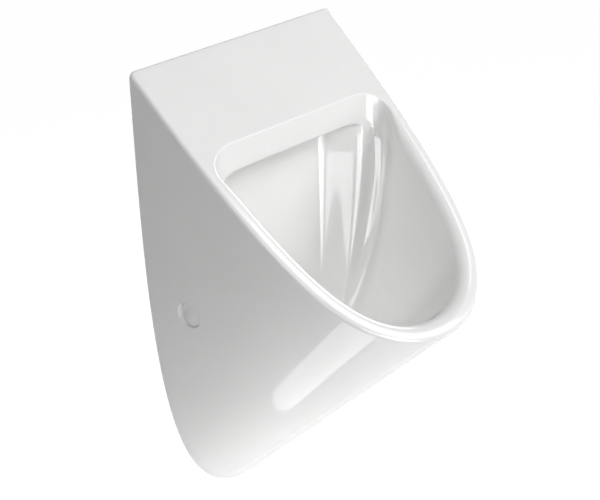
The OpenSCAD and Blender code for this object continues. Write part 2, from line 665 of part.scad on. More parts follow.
module waste_upper_seal() color("dimgray") at_waste(floor_z)
    ring(waste_flange_d - 2 * chamfer, tail_hole_d, upper_seal_t);
module waste_flange() color("silver") at_waste(0) rotate_extrude()
    polygon([[tail_bore_d / 2, tail_end_z], [tail_d / 2, tail_end_z], [tail_d / 2, flange_z],
             [waste_flange_d / 2, flange_z], [waste_flange_d / 2, flange_z + waste_flange_t - chamfer],
             [waste_flange_d / 2 - chamfer, flange_z + waste_flange_t],
             [strainer_seat_d / 2, flange_z + waste_flange_t], [strainer_seat_d / 2, seat_z],
             [tail_bore_d / 2, seat_z]]);
module waste_strainer() color("lightgray") at_waste(seat_z + seat_gap) difference() {
    rotate_extrude()
        polygon(concat(
            [[strainer_d / 2, 0]],
            dome_arc(strainer_d / 2, strainer_dome_h, strainer_t, DOME_STEPS),
            [for (k = [DOME_STEPS:-1:0])
                dome_arc(strainer_d / 2 - strainer_t, strainer_dome_h, 0, DOME_STEPS)[k]]));
    strainer_hole();
    for (n = [1:strainer_rings], k = [1:ring_holes * n])
        rotate(360 * k / (ring_holes * n)) translate([n * strainer_pitch, 0, 0]) strainer_hole();
}
module strainer_hole() translate([0, 0, -overrun])
    cylinder(d = strainer_hole_d, h = strainer_t + strainer_dome_h + 2 * overrun);
module waste_lower_seal() color("dimgray") at_waste(lower_seal_z)
    ring(lower_seal_d, tail_hole_d, lower_seal_t);
module waste_nut() color("gold") at_waste(lower_seal_z - waste_nut_h)
    hex_nut(waste_nut_w, tail_hole_d, waste_nut_h);

// Trap: an elbow leads from the tail to the bottle, where a dip tube goes
// down into the cup. The outlet leaves the bottle at the origin's height.
pipe_bore_d = pipe_d - 2 * pipe_t;
pipe_hole_d = pipe_d + 2 * fit_gap;
elbow_y = elbow_r - waste_reach;
boss_d = pipe_d + 2 * trap_t + 2 * fit_gap;
nut_d = boss_d + 2 * nut_wall;
bottle_bore_d = bottle_d - 2 * trap_t;
inlet_boss_y = -trap_reach - bottle_d / 2 - inlet_boss_l;
spigot_y = inlet_boss_y + 2 * ring_seal_t;
outlet_boss_y = -outlet_boss_gap;
dip_seat_z = trap_rise - pipe_bore_d / 2 - chamfer;
dip_bore_d = dip_d - 2 * pipe_t;
dip_top_z = trap_rise + pipe_bore_d / 2 - chamfer;
roof_z = trap_rise + (pipe_bore_d + trap_t) / 2;
cup_seal_z = -bottle_drop - cup_seal_t;

module trap_elbow() color("ghostwhite") difference() {
    union() {
        at_waste(elbow_z) cylinder(d = tail_hole_d + 2 * trap_t, h = socket_l);
        bend(pipe_d);
        on_trap_inlet(elbow_y) cylinder(d = pipe_d, h = spigot_y - elbow_y);
    }
    at_waste(tail_end_z) cylinder(d = tail_hole_d, h = socket_l);
    at_waste(elbow_z) cylinder(d = pipe_bore_d, h = socket_l);
    bend(pipe_bore_d);
    on_trap_inlet(elbow_y) cylinder(d = pipe_bore_d, h = spigot_y - elbow_y + overrun);
}
module bend(d) translate([0, elbow_y, elbow_z]) on_plane_x() rotate(180)
    rotate_extrude(angle = 90) translate([elbow_r, 0]) circle(d = d);

// A union nut: a threaded bore over a boss, and a lip that presses the seal.
module union_nut(h) difference() {
    cylinder(d = nut_d, h = h);
    translate([0, 0, -overrun]) cylinder(d = pipe_hole_d, h = h + 2 * overrun);
    translate([0, 0, nut_lip_t]) cylinder(d = boss_d + 2 * fit_gap, h = h);
}
module trap_inlet_nut() color("ghostwhite")
    on_trap_inlet(inlet_boss_y - ring_seal_t - nut_lip_t)
        union_nut(nut_lip_t + ring_seal_t + inlet_boss_l - pass_gap);
module trap_inlet_seal() color("dimgray") on_trap_inlet(inlet_boss_y - ring_seal_t)
    ring(boss_d, pipe_hole_d, ring_seal_t);

module trap_body() color("ghostwhite") difference() {
    union() {
        difference() {
            union() {
                at_trap(-bottle_drop) cylinder(d = bottle_d, h = bottle_drop + bottle_top);
                on_trap_inlet(inlet_boss_y) cylinder(d = boss_d, h = -trap_reach - inlet_boss_y);
                on_outlet(-trap_reach) cylinder(d = boss_d, h = trap_reach - outlet_boss_gap);
            }
            at_trap(-bottle_drop - overrun)
                cylinder(d = bottle_bore_d, h = bottle_drop + roof_z + overrun);
        }
        at_trap(-bottle_drop) cylinder(d = dip_d + 2 * trap_t, h = bottle_drop + bottle_top - trap_t / 2);
        on_trap_inlet(-trap_reach - bottle_d / 2) cylinder(d = pipe_bore_d + 2 * trap_t, h = bottle_d / 2);
    }
    at_trap(-bottle_drop - overrun)
        cylinder(d = dip_d + 2 * fit_gap, h = dip_seat_z + bottle_drop + overrun);
    at_trap(-bottle_drop) cylinder(d = dip_bore_d, h = bottle_drop + dip_top_z);
    on_trap_inlet(inlet_boss_y - overrun)
        cylinder(d = pipe_bore_d, h = overrun - trap_reach - inlet_boss_y);
    on_trap_inlet(inlet_boss_y - overrun) cylinder(d = pipe_hole_d, h = spigot_y - inlet_boss_y + overrun);
    on_outlet(dip_d / 2 + trap_t + chamfer - trap_reach) cylinder(d = pipe_hole_d, h = trap_reach);
}
module trap_dip_tube() color("whitesmoke") at_trap(-dip_drop)
    ring(dip_d, dip_bore_d, dip_drop + dip_seat_z);
module trap_cup_seal() color("dimgray") at_trap(cup_seal_z) ring(bottle_d, bottle_bore_d, cup_seal_t);
module trap_cup() color("ghostwhite") at_trap(0) rotate_extrude()
    polygon([[0, -cup_drop], [bottle_d / 2 - trap_t, -cup_drop], [bottle_d / 2, trap_t - cup_drop],
             [bottle_d / 2, cup_seal_z - trap_t], [bottle_d / 2 + fit_gap + trap_t, cup_seal_z],
             [bottle_d / 2 + fit_gap + trap_t, collar_h - bottle_drop],
             [bottle_d / 2 + fit_gap, collar_h - bottle_drop], [bottle_d / 2 + fit_gap, cup_seal_z],
             [bottle_bore_d / 2, cup_seal_z], [bottle_bore_d / 2, trap_t - cup_drop],
             [0, trap_t - cup_drop]]);
module outlet_seal() color("dimgray") on_outlet(outlet_boss_y) ring(boss_d, pipe_hole_d, ring_seal_t);
module outlet_nut() color("ghostwhite") on_outlet(outlet_boss_y + ring_seal_t + nut_lip_t) mirror([0, 0, 1])
    union_nut(nut_lip_t + ring_seal_t + trap_reach - bottle_d / 2 - outlet_boss_gap - fit_gap - trap_t);
outlet_neck = outlet_boss_gap - ring_seal_t - nut_lip_t;
module outlet_pipe() color("whitesmoke") on_outlet(0) rotate_extrude()
    polygon([[pipe_bore_d / 2, bottle_bore_d / 2 - trap_reach + chamfer],
             [pipe_d / 2, bottle_bore_d / 2 - trap_reach + chamfer], [pipe_d / 2, -outlet_neck],
             [outlet_d / 2, 0], [outlet_d / 2, outlet_l], [outlet_d / 2 - pipe_t, outlet_l],
             [outlet_d / 2 - pipe_t, pipe_t], [pipe_bore_d / 2, pipe_t - outlet_neck]]);

// Inlet: the spud is drawn back by its nut, which spreads the seal in the
// hole of the china, and the supply pipe stops on a shoulder inside it.
spud_front_y = channel_back_y - spud_reach;
spud_flange_d = inlet_hole_d - 2 * spud_flange_gap;
spud_shoulder_y = spud_front_y + 2 * spud_flange_t;
inlet_bore_d = inlet_d - 2 * inlet_t;
inlet_seal_d = inlet_hole_d + 2 * inlet_seal_edge;
washer_y = web_y + inlet_seal_t;
module inlet_spud() color("gold") on_inlet(0) rotate_extrude()
    polygon([[inlet_bore_d / 2, spud_front_y], [spud_flange_d / 2, spud_front_y],
             [spud_flange_d / 2, spud_front_y + spud_flange_t], [spud_d / 2, spud_front_y + spud_flange_t],
             [spud_d / 2, -spud_gap], [inlet_d / 2 + fit_gap, -spud_gap],
             [inlet_d / 2 + fit_gap, spud_shoulder_y], [inlet_bore_d / 2, spud_shoulder_y]]);
module inlet_seal() color("dimgray") on_inlet(0) rotate_extrude()
    polygon([[spud_d / 2 + fit_gap, spud_front_y + spud_flange_t],
             [spud_flange_d / 2, spud_front_y + spud_flange_t],
             [inlet_hole_d / 2 - fit_gap, channel_back_y], [inlet_hole_d / 2 - fit_gap, web_y],
             [inlet_seal_d / 2, web_y], [inlet_seal_d / 2, washer_y], [spud_d / 2 + fit_gap, washer_y]]);
module inlet_washer() color("silver") on_inlet(washer_y)
    ring(inlet_seal_d, spud_d + 2 * fit_gap, inlet_washer_t);
module inlet_nut() color("gold") on_inlet(washer_y + inlet_washer_t)
    hex_nut(inlet_nut_w, spud_d + 2 * fit_gap, inlet_nut_h);
module inlet_pipe() color("darkkhaki") on_inlet(0) rotate_extrude()
    polygon([[inlet_bore_d / 2, spud_shoulder_y], [inlet_d / 2, spud_shoulder_y],
             [inlet_d / 2, -pipe_collar_t], [inlet_d / 2 + pipe_collar_edge, -pipe_collar_t],
             [inlet_d / 2 + pipe_collar_edge, 0], [inlet_d / 2, 0], [inlet_d / 2, inlet_l],
             [inlet_bore_d / 2, inlet_l]]);

ceramic_body();
side_cap(-1);  // side_cap_left
side_cap(1);  // side_cap_right
side_bush(-1);  // side_bush_left
side_bush(1);  // side_bush_right
side_washer(-1);  // side_washer_left
side_washer(1);  // side_washer_right
side_screw(-1);  // side_screw_left
side_screw(1);  // side_screw_right
bracket_nut(-1);  // bracket_nut_left
bracket_nut(1);  // bracket_nut_right
wall_bracket(-1);  // wall_bracket_left
wall_bracket(1);  // wall_bracket_right
waste_strainer();
waste_flange();
waste_upper_seal();
waste_lower_seal();
waste_nut();
trap_elbow();
trap_inlet_nut();
trap_inlet_seal();
trap_body();
trap_dip_tube();
trap_cup();
trap_cup_seal();
outlet_nut();
outlet_seal();
outlet_pipe();
inlet_pipe();
inlet_spud();
inlet_seal();
inlet_washer();
inlet_nut();
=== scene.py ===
import math

import bpy
import numpy as np
from bpy.props import FloatProperty, FloatVectorProperty, IntProperty, PointerProperty
from mathutils import Matrix, Vector


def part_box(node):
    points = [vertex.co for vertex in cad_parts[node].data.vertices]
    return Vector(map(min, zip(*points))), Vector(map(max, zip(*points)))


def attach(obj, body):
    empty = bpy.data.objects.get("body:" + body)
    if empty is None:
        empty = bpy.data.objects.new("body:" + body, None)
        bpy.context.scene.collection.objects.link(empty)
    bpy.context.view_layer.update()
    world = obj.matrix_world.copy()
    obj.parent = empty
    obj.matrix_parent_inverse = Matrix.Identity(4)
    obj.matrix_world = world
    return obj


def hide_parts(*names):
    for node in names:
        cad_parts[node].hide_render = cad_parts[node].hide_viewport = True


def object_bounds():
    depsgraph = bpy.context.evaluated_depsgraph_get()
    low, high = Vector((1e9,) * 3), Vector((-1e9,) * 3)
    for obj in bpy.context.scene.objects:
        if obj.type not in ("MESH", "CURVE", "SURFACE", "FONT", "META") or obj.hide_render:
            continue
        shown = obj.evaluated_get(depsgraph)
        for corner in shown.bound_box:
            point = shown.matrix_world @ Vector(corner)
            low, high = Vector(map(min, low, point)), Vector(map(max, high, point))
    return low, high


bl_info = {
    "name": "Wall Hung Urinal",
    "version": (1, 0, 0),
    "blender": (4, 5, 0),
    "location": "3D View > Sidebar > Urinal",
    "description": "Builds the glazed china body and the fittings of a wall hung urinal",
    "category": "Add Mesh",
}

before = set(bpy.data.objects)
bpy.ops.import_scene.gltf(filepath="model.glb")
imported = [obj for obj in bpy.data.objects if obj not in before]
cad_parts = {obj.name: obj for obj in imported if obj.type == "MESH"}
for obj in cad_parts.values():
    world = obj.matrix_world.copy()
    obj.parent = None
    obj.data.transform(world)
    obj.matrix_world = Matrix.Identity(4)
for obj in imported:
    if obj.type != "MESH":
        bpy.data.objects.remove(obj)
CAD_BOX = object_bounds()
UP = np.array([0.0, 0.0, 1.0])

# Outlines of the sloped face and of the wall edge, as shares of half the
# width and of the length.
FACE_SHARES = ((1, 0), (1, 0.914), (0.627, 0.826), (0.55, 1), (0, 1))
WALL_SHARES = ((1, 0), (1, 0.48), (1, 1), (0.38, 1), (0, 1))
# Handles of the bowl wall's curve, as shares of its span.
WALL_PULL_SHARE = 0.34
FLOOR_PULL_SHARE = 0.42
FLOOR_RISE_SHARE = 0.05
# How far down that curve the hollow between skin and bowl may start, and the
# last place where the rear of the bowl wall is worked out from the curve.
HOLLOW_LAST_SHARE = 0.94
BEHIND_LAST_SHARE = 0.97
# Room from the bowl to the skin where the hollow starts, and thickness of
# the body's top, in china walls.
HOLLOW_ROOM = 2.75
TOP_WALLS = 4 / 3
# Rise of the recess behind the inlet, as a share of its depth.
RECESS_RISE_SHARE = 0.82
# Stations of the outline for each unit of detail: along the top edge, round
# its corner, up to the opening's corner, and down to the tip.
TOP_STEPS, ARC_STEPS, UP_STEPS, LOW_STEPS = 8, 3, 5, 22
# Share of the opening's corner that belongs to the stations round the top corner.
CORNER_TURN_SHARE = 3 / 8
CURVE_STEPS = 4001
# Turn of the rim's roll, in degrees.
ROLL_TURN = 84
WASTE_EDGE = 0.0015
# Place of the middle point of a small rounded edge, as a share of its radius
# from either face.
EDGE_MIDDLE_SHARE = 0.3

# Side fixings: the hole in the china, the bush's flange, and how far the pad
# behind the screw reaches past its seat.
SIDE_HOLE = 0.018
BUSH_FLANGE = 0.002
PAD_PAST_SEAT = 0.0065
# Pitch and depth of the threads, how much narrower their tips are, and the
# plain length under a head.
SCREW_THREAD = (0.00125, 0.0006)
PIPE_THREAD = (0.0018, 0.0007)
SCREW_TIP = 0.0009
PIPE_TIP = 0.0008
RUN_OUT = 0.006
# Depth of the grooves between grip ribs, the length over which they fade out,
# and the height of the supply pipe's collar.
RIB_DEPTH = 0.0011
RIB_FADE = 0.0012
COLLAR = 0.004
# How far a tool passes the surface that it cuts, how far a web stays inside
# the plates that it joins, and the length below which two lengths are one.
OVER = 0.001
WEB_INSET = 0.0001
SAME = 1e-7

# The floor's depth under the object, its half width, the white that the camera
# sees on it and that white's share, and the camera's film.
FLOOR_DROP = 0.45
FLOOR_HALF = 6
FLOOR_WHITE = 1.06
FLOOR_WHITE_SHARE = 0.93
FILM = 36.0
# The place that the soft boxes face, and how much nearer to it the ones for
# reflections stand, so that no two lie in one place.
SUBJECT = (0.0, -0.15, 0.15)
NEARER_SHARE = 0.02
# Name, place, width and height, radiance on matt surfaces, radiance in reflections.
SOFT_BOXES = (
    ("above", (0.0, -0.3, 2.2), (2.0, 2.0), 0.4, 0.4),
    ("front_high", (1.4, -1.8, 1.8), (1.5, 1.5), 5.15, 2.6),
    ("front_low", (0.4, -2.4, 0.0), (0.8, 1.4), 3.8, 4.6),
    ("left_high", (-1.7, -1.9, 1.7), (1.2, 1.2), 5.7, 3.0),
    ("left_low", (-1.9, -1.5, 0.2), (0.6, 1.4), 0.9, 0.0),
    ("right", (2.3, -0.1, 0.6), (1.4, 1.4), 2.4, 3.5),
    ("behind", (0.5, 2.4, 0.6), (2.0, 1.4), 4.0, 0.0),
    ("under_left", (-0.22, -0.32, -0.45), (0.30, 0.46), 2.2, 0.0),
    ("window", (-1.5, -1.45, 0.2), (0.8, 0.6), 0.0, 2.8),
    ("window_front", (-0.3, -2.1, 0.0), (1.2, 0.6), 0.0, 4.6),
)
# Corners of the glowing card under the left side.
CARD = ((-0.277, -0.072, -0.45), (-0.459, -0.18, -0.45), (-0.30, -0.70, -0.45), (-0.056, -0.102, -0.45))


def box_corners(node):
    """The two corners of a CAD node's box."""
    low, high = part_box(node)
    return np.array(low), np.array(high)


def node_middle(node):
    """Middle of a CAD node's box."""
    low, high = box_corners(node)
    return (low + high) / 2


def node_size(node):
    """Lengths of a CAD node's box."""
    low, high = box_corners(node)
    return high - low


def farthest_x(node):
    """Distance of a CAD node's far side from the middle plane."""
    return max(abs(corner[0]) for corner in box_corners(node))


def metres(name, description, default):
    """A length that a user can change, in metres."""
    return FloatProperty(name=name, description=description, default=float(default), unit="LENGTH",
                         precision=4)


def colour(name, description, default):
    """A colour that a user can change."""
    return FloatVectorProperty(name=name, description=description, default=default, size=3, subtype="COLOR",
                               min=0.0, max=1.0)


class UrinalChina(bpy.types.PropertyGroup):
    """Sizes of the china body"""
    width: metres("Width", "Width across the body", node_size("ceramic_body")[0])
    top: metres("Top edge", "Height of the top edge over the outlet axis",
                box_corners("ceramic_body")[1][2])
    height: metres("Height", "From the top edge to the sharp lower tip", 0.590)
    reach: metres("Reach", "Reach of the front lip from the wall before its edge is rounded", 0.325)
    lip_drop: metres("Lip drop", "Drop of the front lip below the top edge", 0.300)
    wall: metres("China wall", "Thickness of the china", 0.012)
    top_land: metres("Top land", "Flat land on the top edge", 0.003)
    rim_edge: metres("Rim edge", "Radius of the edge between the face and the sides", 0.006)
    wall_edge: metres("Wall edge", "Radius of the edge that meets the wall", 0.003)
    corner: metres("Top corner", "Radius of the two top corners", 0.009)
    rim_flat: metres("Rim flat", "Flat border between the outer edge and the opening", 0.0125)
    rim_roll: metres("Rim roll", "Radius that rolls the border down into the bowl", 0.016)
    rim_depth: metres("Rim depth", "Straight depth of the bowl wall under the roll", 0.020)
    roll_from: metres("Roll from", "Distance down the slope from the opening's top to where its edge rolls",
                      0.014)
    roll_run: metres("Roll run", "Distance over which that edge turns into the full roll", 0.060)
    opening_drop: metres("Opening drop", "Distance down the slope to the opening", 0.122)
    opening_corner_w: metres("Corner width", "Width of each upper corner curve of the opening", 0.047)
    opening_corner_h: metres("Corner height", "Height of each upper corner curve of the opening", 0.038)
    ledge_h: metres("Ledge height", "Height of the ledge over the flush holes", 0.038)
    ledge_edge: metres("Ledge edge", "Radius of the ledge's upper edge", 0.003)
    ledge_lip: metres("Ledge lip", "Radius of the ledge's lower lip", 0.004)
    ledge_half: metres("Ledge half length", "Half length of the ledge at its full depth", 0.084)
    ledge_fade: metres("Ledge fade", "Half length where the hollow under the ledge has faded out", 0.128)
    bowl_back: metres("Bowl back", "Distance from the wall to the upper part of the bowl's back", 0.050)
    floor: metres("Floor", "Height of the bowl floor over the outlet axis", 0.062)
    floor_r: metres("Floor radius", "Radius of the level floor round the waste", 0.040)
    boss: metres("Boss", "Thickness of the china under the waste", 0.014)
    waste_hole: metres("Waste hole", "Diameter of the waste hole", 0.040)
    recess: metres("Inlet recess", "Depth of the recess behind the inlet", 0.022)
    web: metres("Channel web", "China between that recess and the flush channel", 0.008)
    ledge_t: metres("Ledge thickness", "China in front of and under the flush channel", 0.009)
    inlet_hole: metres("Inlet hole", "Diameter of the inlet's hole", 0.036)
    flush_hole: metres("Flush hole", "Diameter of a flush hole", 0.007)
    flush_pitch: metres("Flush pitch", "Distance between two flush holes", 0.024)
    flush_holes: IntProperty(name="Flush holes", description="Number of flush holes", default=7, min=1)
    side_recess: metres("Side recess", "Diameter of the recess round a side screw", 0.032)
    side_lip: metres("Side lip", "Radius that rolls the skin into that recess", 0.0007)
    side_hole: metres("Side hole", "Diameter of the hole under a side screw", SIDE_HOLE)
    side_pad: metres("Side pad", "Diameter of the thicker pad behind a side screw", 0.048)
    detail: IntProperty(name="Detail", description="Stations for each station of the plain outline",
                        default=4, min=1)


def unit(v):
    """Each vector over its own length."""
    return v / np.linalg.norm(v, axis=-1, keepdims=True)


def mix(a, b, t):
    """a where t is 0, b where t is 1, and a straight blend between."""
    return a * (1 - t) + b * t


def smooth(t):
    """0 below 0, 1 above 1, and the curve 3tt - 2ttt between."""
    t = np.clip(t, 0, 1)
    return t * t * (3 - 2 * t)


def bezier(points, t):
    """Bezier curve of any order: neighbours are blended until one is left."""
    points = [np.asarray(p, float) for p in points]
    while len(points) > 1:
        points = [mix(a, b, t) for a, b in zip(points, points[1:])]
    return points[0]


def bezier_run(points, t):
    """First derivative of the same curve: the order times the curve of the differences."""
    points = [np.asarray(p, float) for p in points]
    return (len(points) - 1) * bezier([b - a for a, b in zip(points, points[1:])], t)


def rows_of(*columns):
    """Arrays, or single numbers among them, set side by side as rows of points."""
    return np.stack(np.broadcast_arrays(*columns), -1)


def column(values):
    """Numbers, or one number, as a column, so that they blend rows of vectors."""
    return np.reshape(np.asarray(values, float), (-1, 1))


def arc(centre, radius, start, end, steps):
    """Points on a circle between two angles in degrees."""
    a = np.radians(np.linspace(start, end, steps))
    return rows_of(centre[0] + radius * np.cos(a), centre[1] + radius * np.sin(a))


def tangent_reach(shares, t):
    """Inverse of the distance at which an outline's tangent meets the top edge's line."""
    q, d = bezier(shares, column(t)), bezier_run(shares, column(t))
    return d[:, 1] / (q[:, 0] * d[:, 1] - q[:, 1] * d[:, 0])


class Outline:
    """Half of the body's outlines, from the middle of the top edge to the tip.

    Each station has a point of the sloped face and one of the wall edge whose
    tangents meet on the top edge's line, so the skin between them bends one
    way only. It also has a point of the opening.
    """

    def __init__(self, c):
        half = c.width / 2
        self.c = c
        self.slope = math.atan2(c.reach - c.top_land, c.lip_drop)
        self.slope_l = math.hypot(c.reach - c.top_land, c.lip_drop)
        self.face_out = np.array([0, -math.cos(self.slope), math.sin(self.slope)])
        self.face_down = np.array([0, -math.sin(self.slope), -math.cos(self.slope)])
        n = c.detail
        steps_top, steps_arc, steps_up, steps_low = TOP_STEPS * n, ARC_STEPS * n, UP_STEPS * n, LOW_STEPS * n

        # The side curves: where both have the same tangent reach, their points make one station.
        grid = np.linspace(0, 1, CURVE_STEPS)
        depth = bezier(FACE_SHARES, column(grid))[:, 1] * self.slope_l
        t_corner, t_open = np.interp([c.corner, c.opening_drop + c.opening_corner_h], depth, grid)
        t = np.concatenate([np.linspace(t_corner, t_open, steps_up, endpoint=False),
                            np.linspace(t_open, 1, steps_low + 1)])
        run = np.minimum.accumulate(tangent_reach(WALL_SHARES, grid))
        t_wall = np.interp(-tangent_reach(FACE_SHARES, t), -run, grid)
        t_wall[-1] = 1
        face_size, wall_size = np.array([half, self.slope_l]), np.array([half, c.height])
        face_side = bezier(FACE_SHARES, column(t)) * face_size
        wall_side = bezier(WALL_SHARES, column(t_wall)) * wall_size
        face_run = unit(bezier_run(FACE_SHARES, column(t)) * face_size)
        wall_run = unit(bezier_run(WALL_SHARES, column(t_wall)) * wall_size)

        # The top edge and the quarter circle of its corner, which both outlines share.
        across = np.linspace(0, half - c.corner, steps_top, endpoint=False)
        top = rows_of(across, 0)
        a = np.linspace(0, math.pi / 2, steps_arc, endpoint=False)
        bend = rows_of(half - c.corner + c.corner * np.sin(a), c.corner - c.corner * np.cos(a))
        face = np.concatenate([top, bend, face_side])
        edge = np.concatenate([top, bend, wall_side])
        run = np.concatenate([rows_of(1 + 0 * across, 0), rows_of(np.cos(a), np.sin(a)), wall_run])

        # The opening: a straight top, a quarter oval, and the side curve less the rim.
        side_out = rows_of(face_run[:, 1], -face_run[:, 0])
        border = face_side - c.rim_flat * side_out
        corner_end = border[steps_up]
        opening_top = corner_end[0] - c.opening_corner_w
        height = corner_end[1] - c.opening_drop
        share = CORNER_TURN_SHARE
        turn = np.radians(np.concatenate([90 * share * np.arange(steps_arc) / steps_arc,
                                          90 * (share + (1 - share) * np.arange(steps_up) / steps_up)]))
        oval = rows_of(opening_top + c.opening_corner_w * np.sin(turn), corner_end[1] - height * np.cos(turn))
        oval_out = unit(rows_of(np.sin(turn) / c.opening_corner_w, -np.cos(turn) / height))
        straight = rows_of(np.linspace(0, opening_top, steps_top, endpoint=False), c.opening_drop)
        self.opening = np.concatenate([straight, oval, border[steps_up:]])
        out = np.concatenate([rows_of(0 * across, -1), oval_out, side_out[steps_up:]])
        sideways = np.array([1.0, 0.0, 0.0])
        self.opening_out = column(out[:, 0]) * sideways + column(out[:, 1]) * self.face_down
        self.opening_run = column(-out[:, 1]) * sideways + column(out[:, 0]) * self.face_down
        self.plan_run = unit(self.opening_run * [1, 1, 0])
        self.plan_in = self.plan_run[:, [1, 0, 2]] * [1, -1, 0]

        # Shares from 0 to 1 along the top edge, round its corner and up to the opening's corner.
        self.on_arc = steps_top + steps_arc
        self.upper = np.clip((np.arange(len(face)) - self.on_arc) / steps_up, 0, 1)
        self.corner_turn = np.clip((np.arange(len(face)) - steps_top) / steps_arc, 0, 1)
        self.across = np.clip(np.arange(len(face)) / steps_top, 0, 1)

        self.face = self.on_face(face)
        self.wall = rows_of(edge[:, 0], 0, c.top - edge[:, 1])
        self.skin_out = unit(np.cross(self.face - self.wall, rows_of(run[:, 0], 0, -run[:, 1])))
        self.wall_side = rows_of(run[:, 1], 0, run[:, 0])

    def on_face(self, flat):
        """Points of the sloped face from places across and down it."""
        start = np.array([0, -self.c.top_land, self.c.top])
        point = start + column(flat[:, 1]) * self.face_down
        point[:, 0] = flat[:, 0]
        return point

    def plumb(self, v):
        """Vectors slid along the opening's edge into the plane that is upright and square to it."""
        slide = (v * self.plan_run).sum(1) / (self.opening_run * self.plan_run).sum(1)
        return v - self.opening_run * column(slide)

    def skin_depth(self, points):
        """Distance of points under the skin, as the least over the skin's tangent planes."""
        p = np.abs(points) * [1, 0, 0] + points * [0, 1, 1]
        offsets = (self.wall * self.skin_out).sum(1)
        depth = offsets - p @ self.skin_out.T
        return depth.min(-1), depth.argmin(-1)

    def skin_x(self, y, z):
        """Distance of the skin from the middle plane at places of y and z: two steps along x
        to the nearest tangent plane."""
        x = self.c.width / 2 - 2 * self.c.wall + 0 * y
        for _ in range(2):
            depth, nearest = self.skin_depth(rows_of(x, y, z))
            x = x + depth / self.skin_out[nearest, 0]
        return x


def rounded_edge(p, a, b, radius, t):
    """Points of the fillet of a radius between two planes with normals a and b."""
    centre = p - radius * (a + b) / (1 + column((a * b).sum(1)))
    return centre + radius * unit(mix(a, b, t))


def rim_section(o):
    """From the opening's edge inwards: the ledge along the top, and the roll along
    the sides, blended below the corners.

    The step q runs over both. On the ledge its edge ends at 3, its face at 4, its
    lip at 6, its underside at 7 and the corner to the bowl at 8. On the sides the
    quarter circle of the roll ends at 3 and the straight wall at 8.
    """
    c = o.c
    edge = o.on_face(o.opening)
    roll = column(smooth((o.opening[:, 1] - c.opening_drop - c.roll_from) / c.roll_run))
    hollow = column(smooth((c.ledge_fade - o.opening[:, 0]) / (c.ledge_fade - c.ledge_half)))
    roll_end = math.radians(ROLL_TURN)
    roll_dir = -math.sin(roll_end) * o.face_out - math.cos(roll_end) * o.opening_out
    edge_mid = edge - c.ledge_edge * o.face_out
    face_top = edge_mid + c.ledge_edge * o.plan_in
    face_end = face_top - UP * (c.ledge_h - c.ledge_edge - c.ledge_lip)
    lip = face_end - o.plan_in * c.ledge_lip
    deep = (-edge[0, 1] - c.bowl_back) * np.sqrt(np.clip(1 - (o.opening[:, 0] / (c.width / 2)) ** 2, 0, 1))
    under = 2 * c.ledge_lip
    back = lip - UP * c.ledge_lip - o.plan_in * column(np.maximum(deep - c.ledge_lip - under, c.ledge_lip))
    rows = []
    for q in np.concatenate([np.linspace(0, 3, 13), np.linspace(3.25, 8, 20)]):
        a = roll_end * min(q / 3, 1)
        side = c.rim_roll * ((math.cos(a) - 1) * o.face_out - math.sin(a) * o.opening_out)
        side = edge + o.plumb(side + roll_dir * c.rim_depth * max(q - 3, 0) / 5)
        a = math.radians(np.clip(q - 4, 0, 2) * 45)
        b = math.radians(np.clip(q - 7, 0, 1) * 90)
        if q <= 3:
            ledge = edge_mid + c.ledge_edge * unit(mix(o.face_out, o.plan_in, q / 3))
        elif q <= 4:
            ledge = mix(face_top, face_end, q - 3)
        elif q <= 6:
            ledge = lip + c.ledge_lip * (math.cos(a) * o.plan_in - math.sin(a) * UP)
        elif q <= 7:
            ledge = mix(lip - UP * c.ledge_lip, back, q - 6)
        else:
            ledge = back - UP * under + under * (math.cos(b) * UP - math.sin(b) * o.plan_in)
        if q > 4:
            plain = face_end - UP * (c.ledge_lip + under) * (q - 4) / 4
            ledge = mix(plain, ledge, hollow)
        rows.append(mix(ledge, side, roll))
    return rows, unit(mix(-UP, unit(o.plumb(roll_dir)), roll))


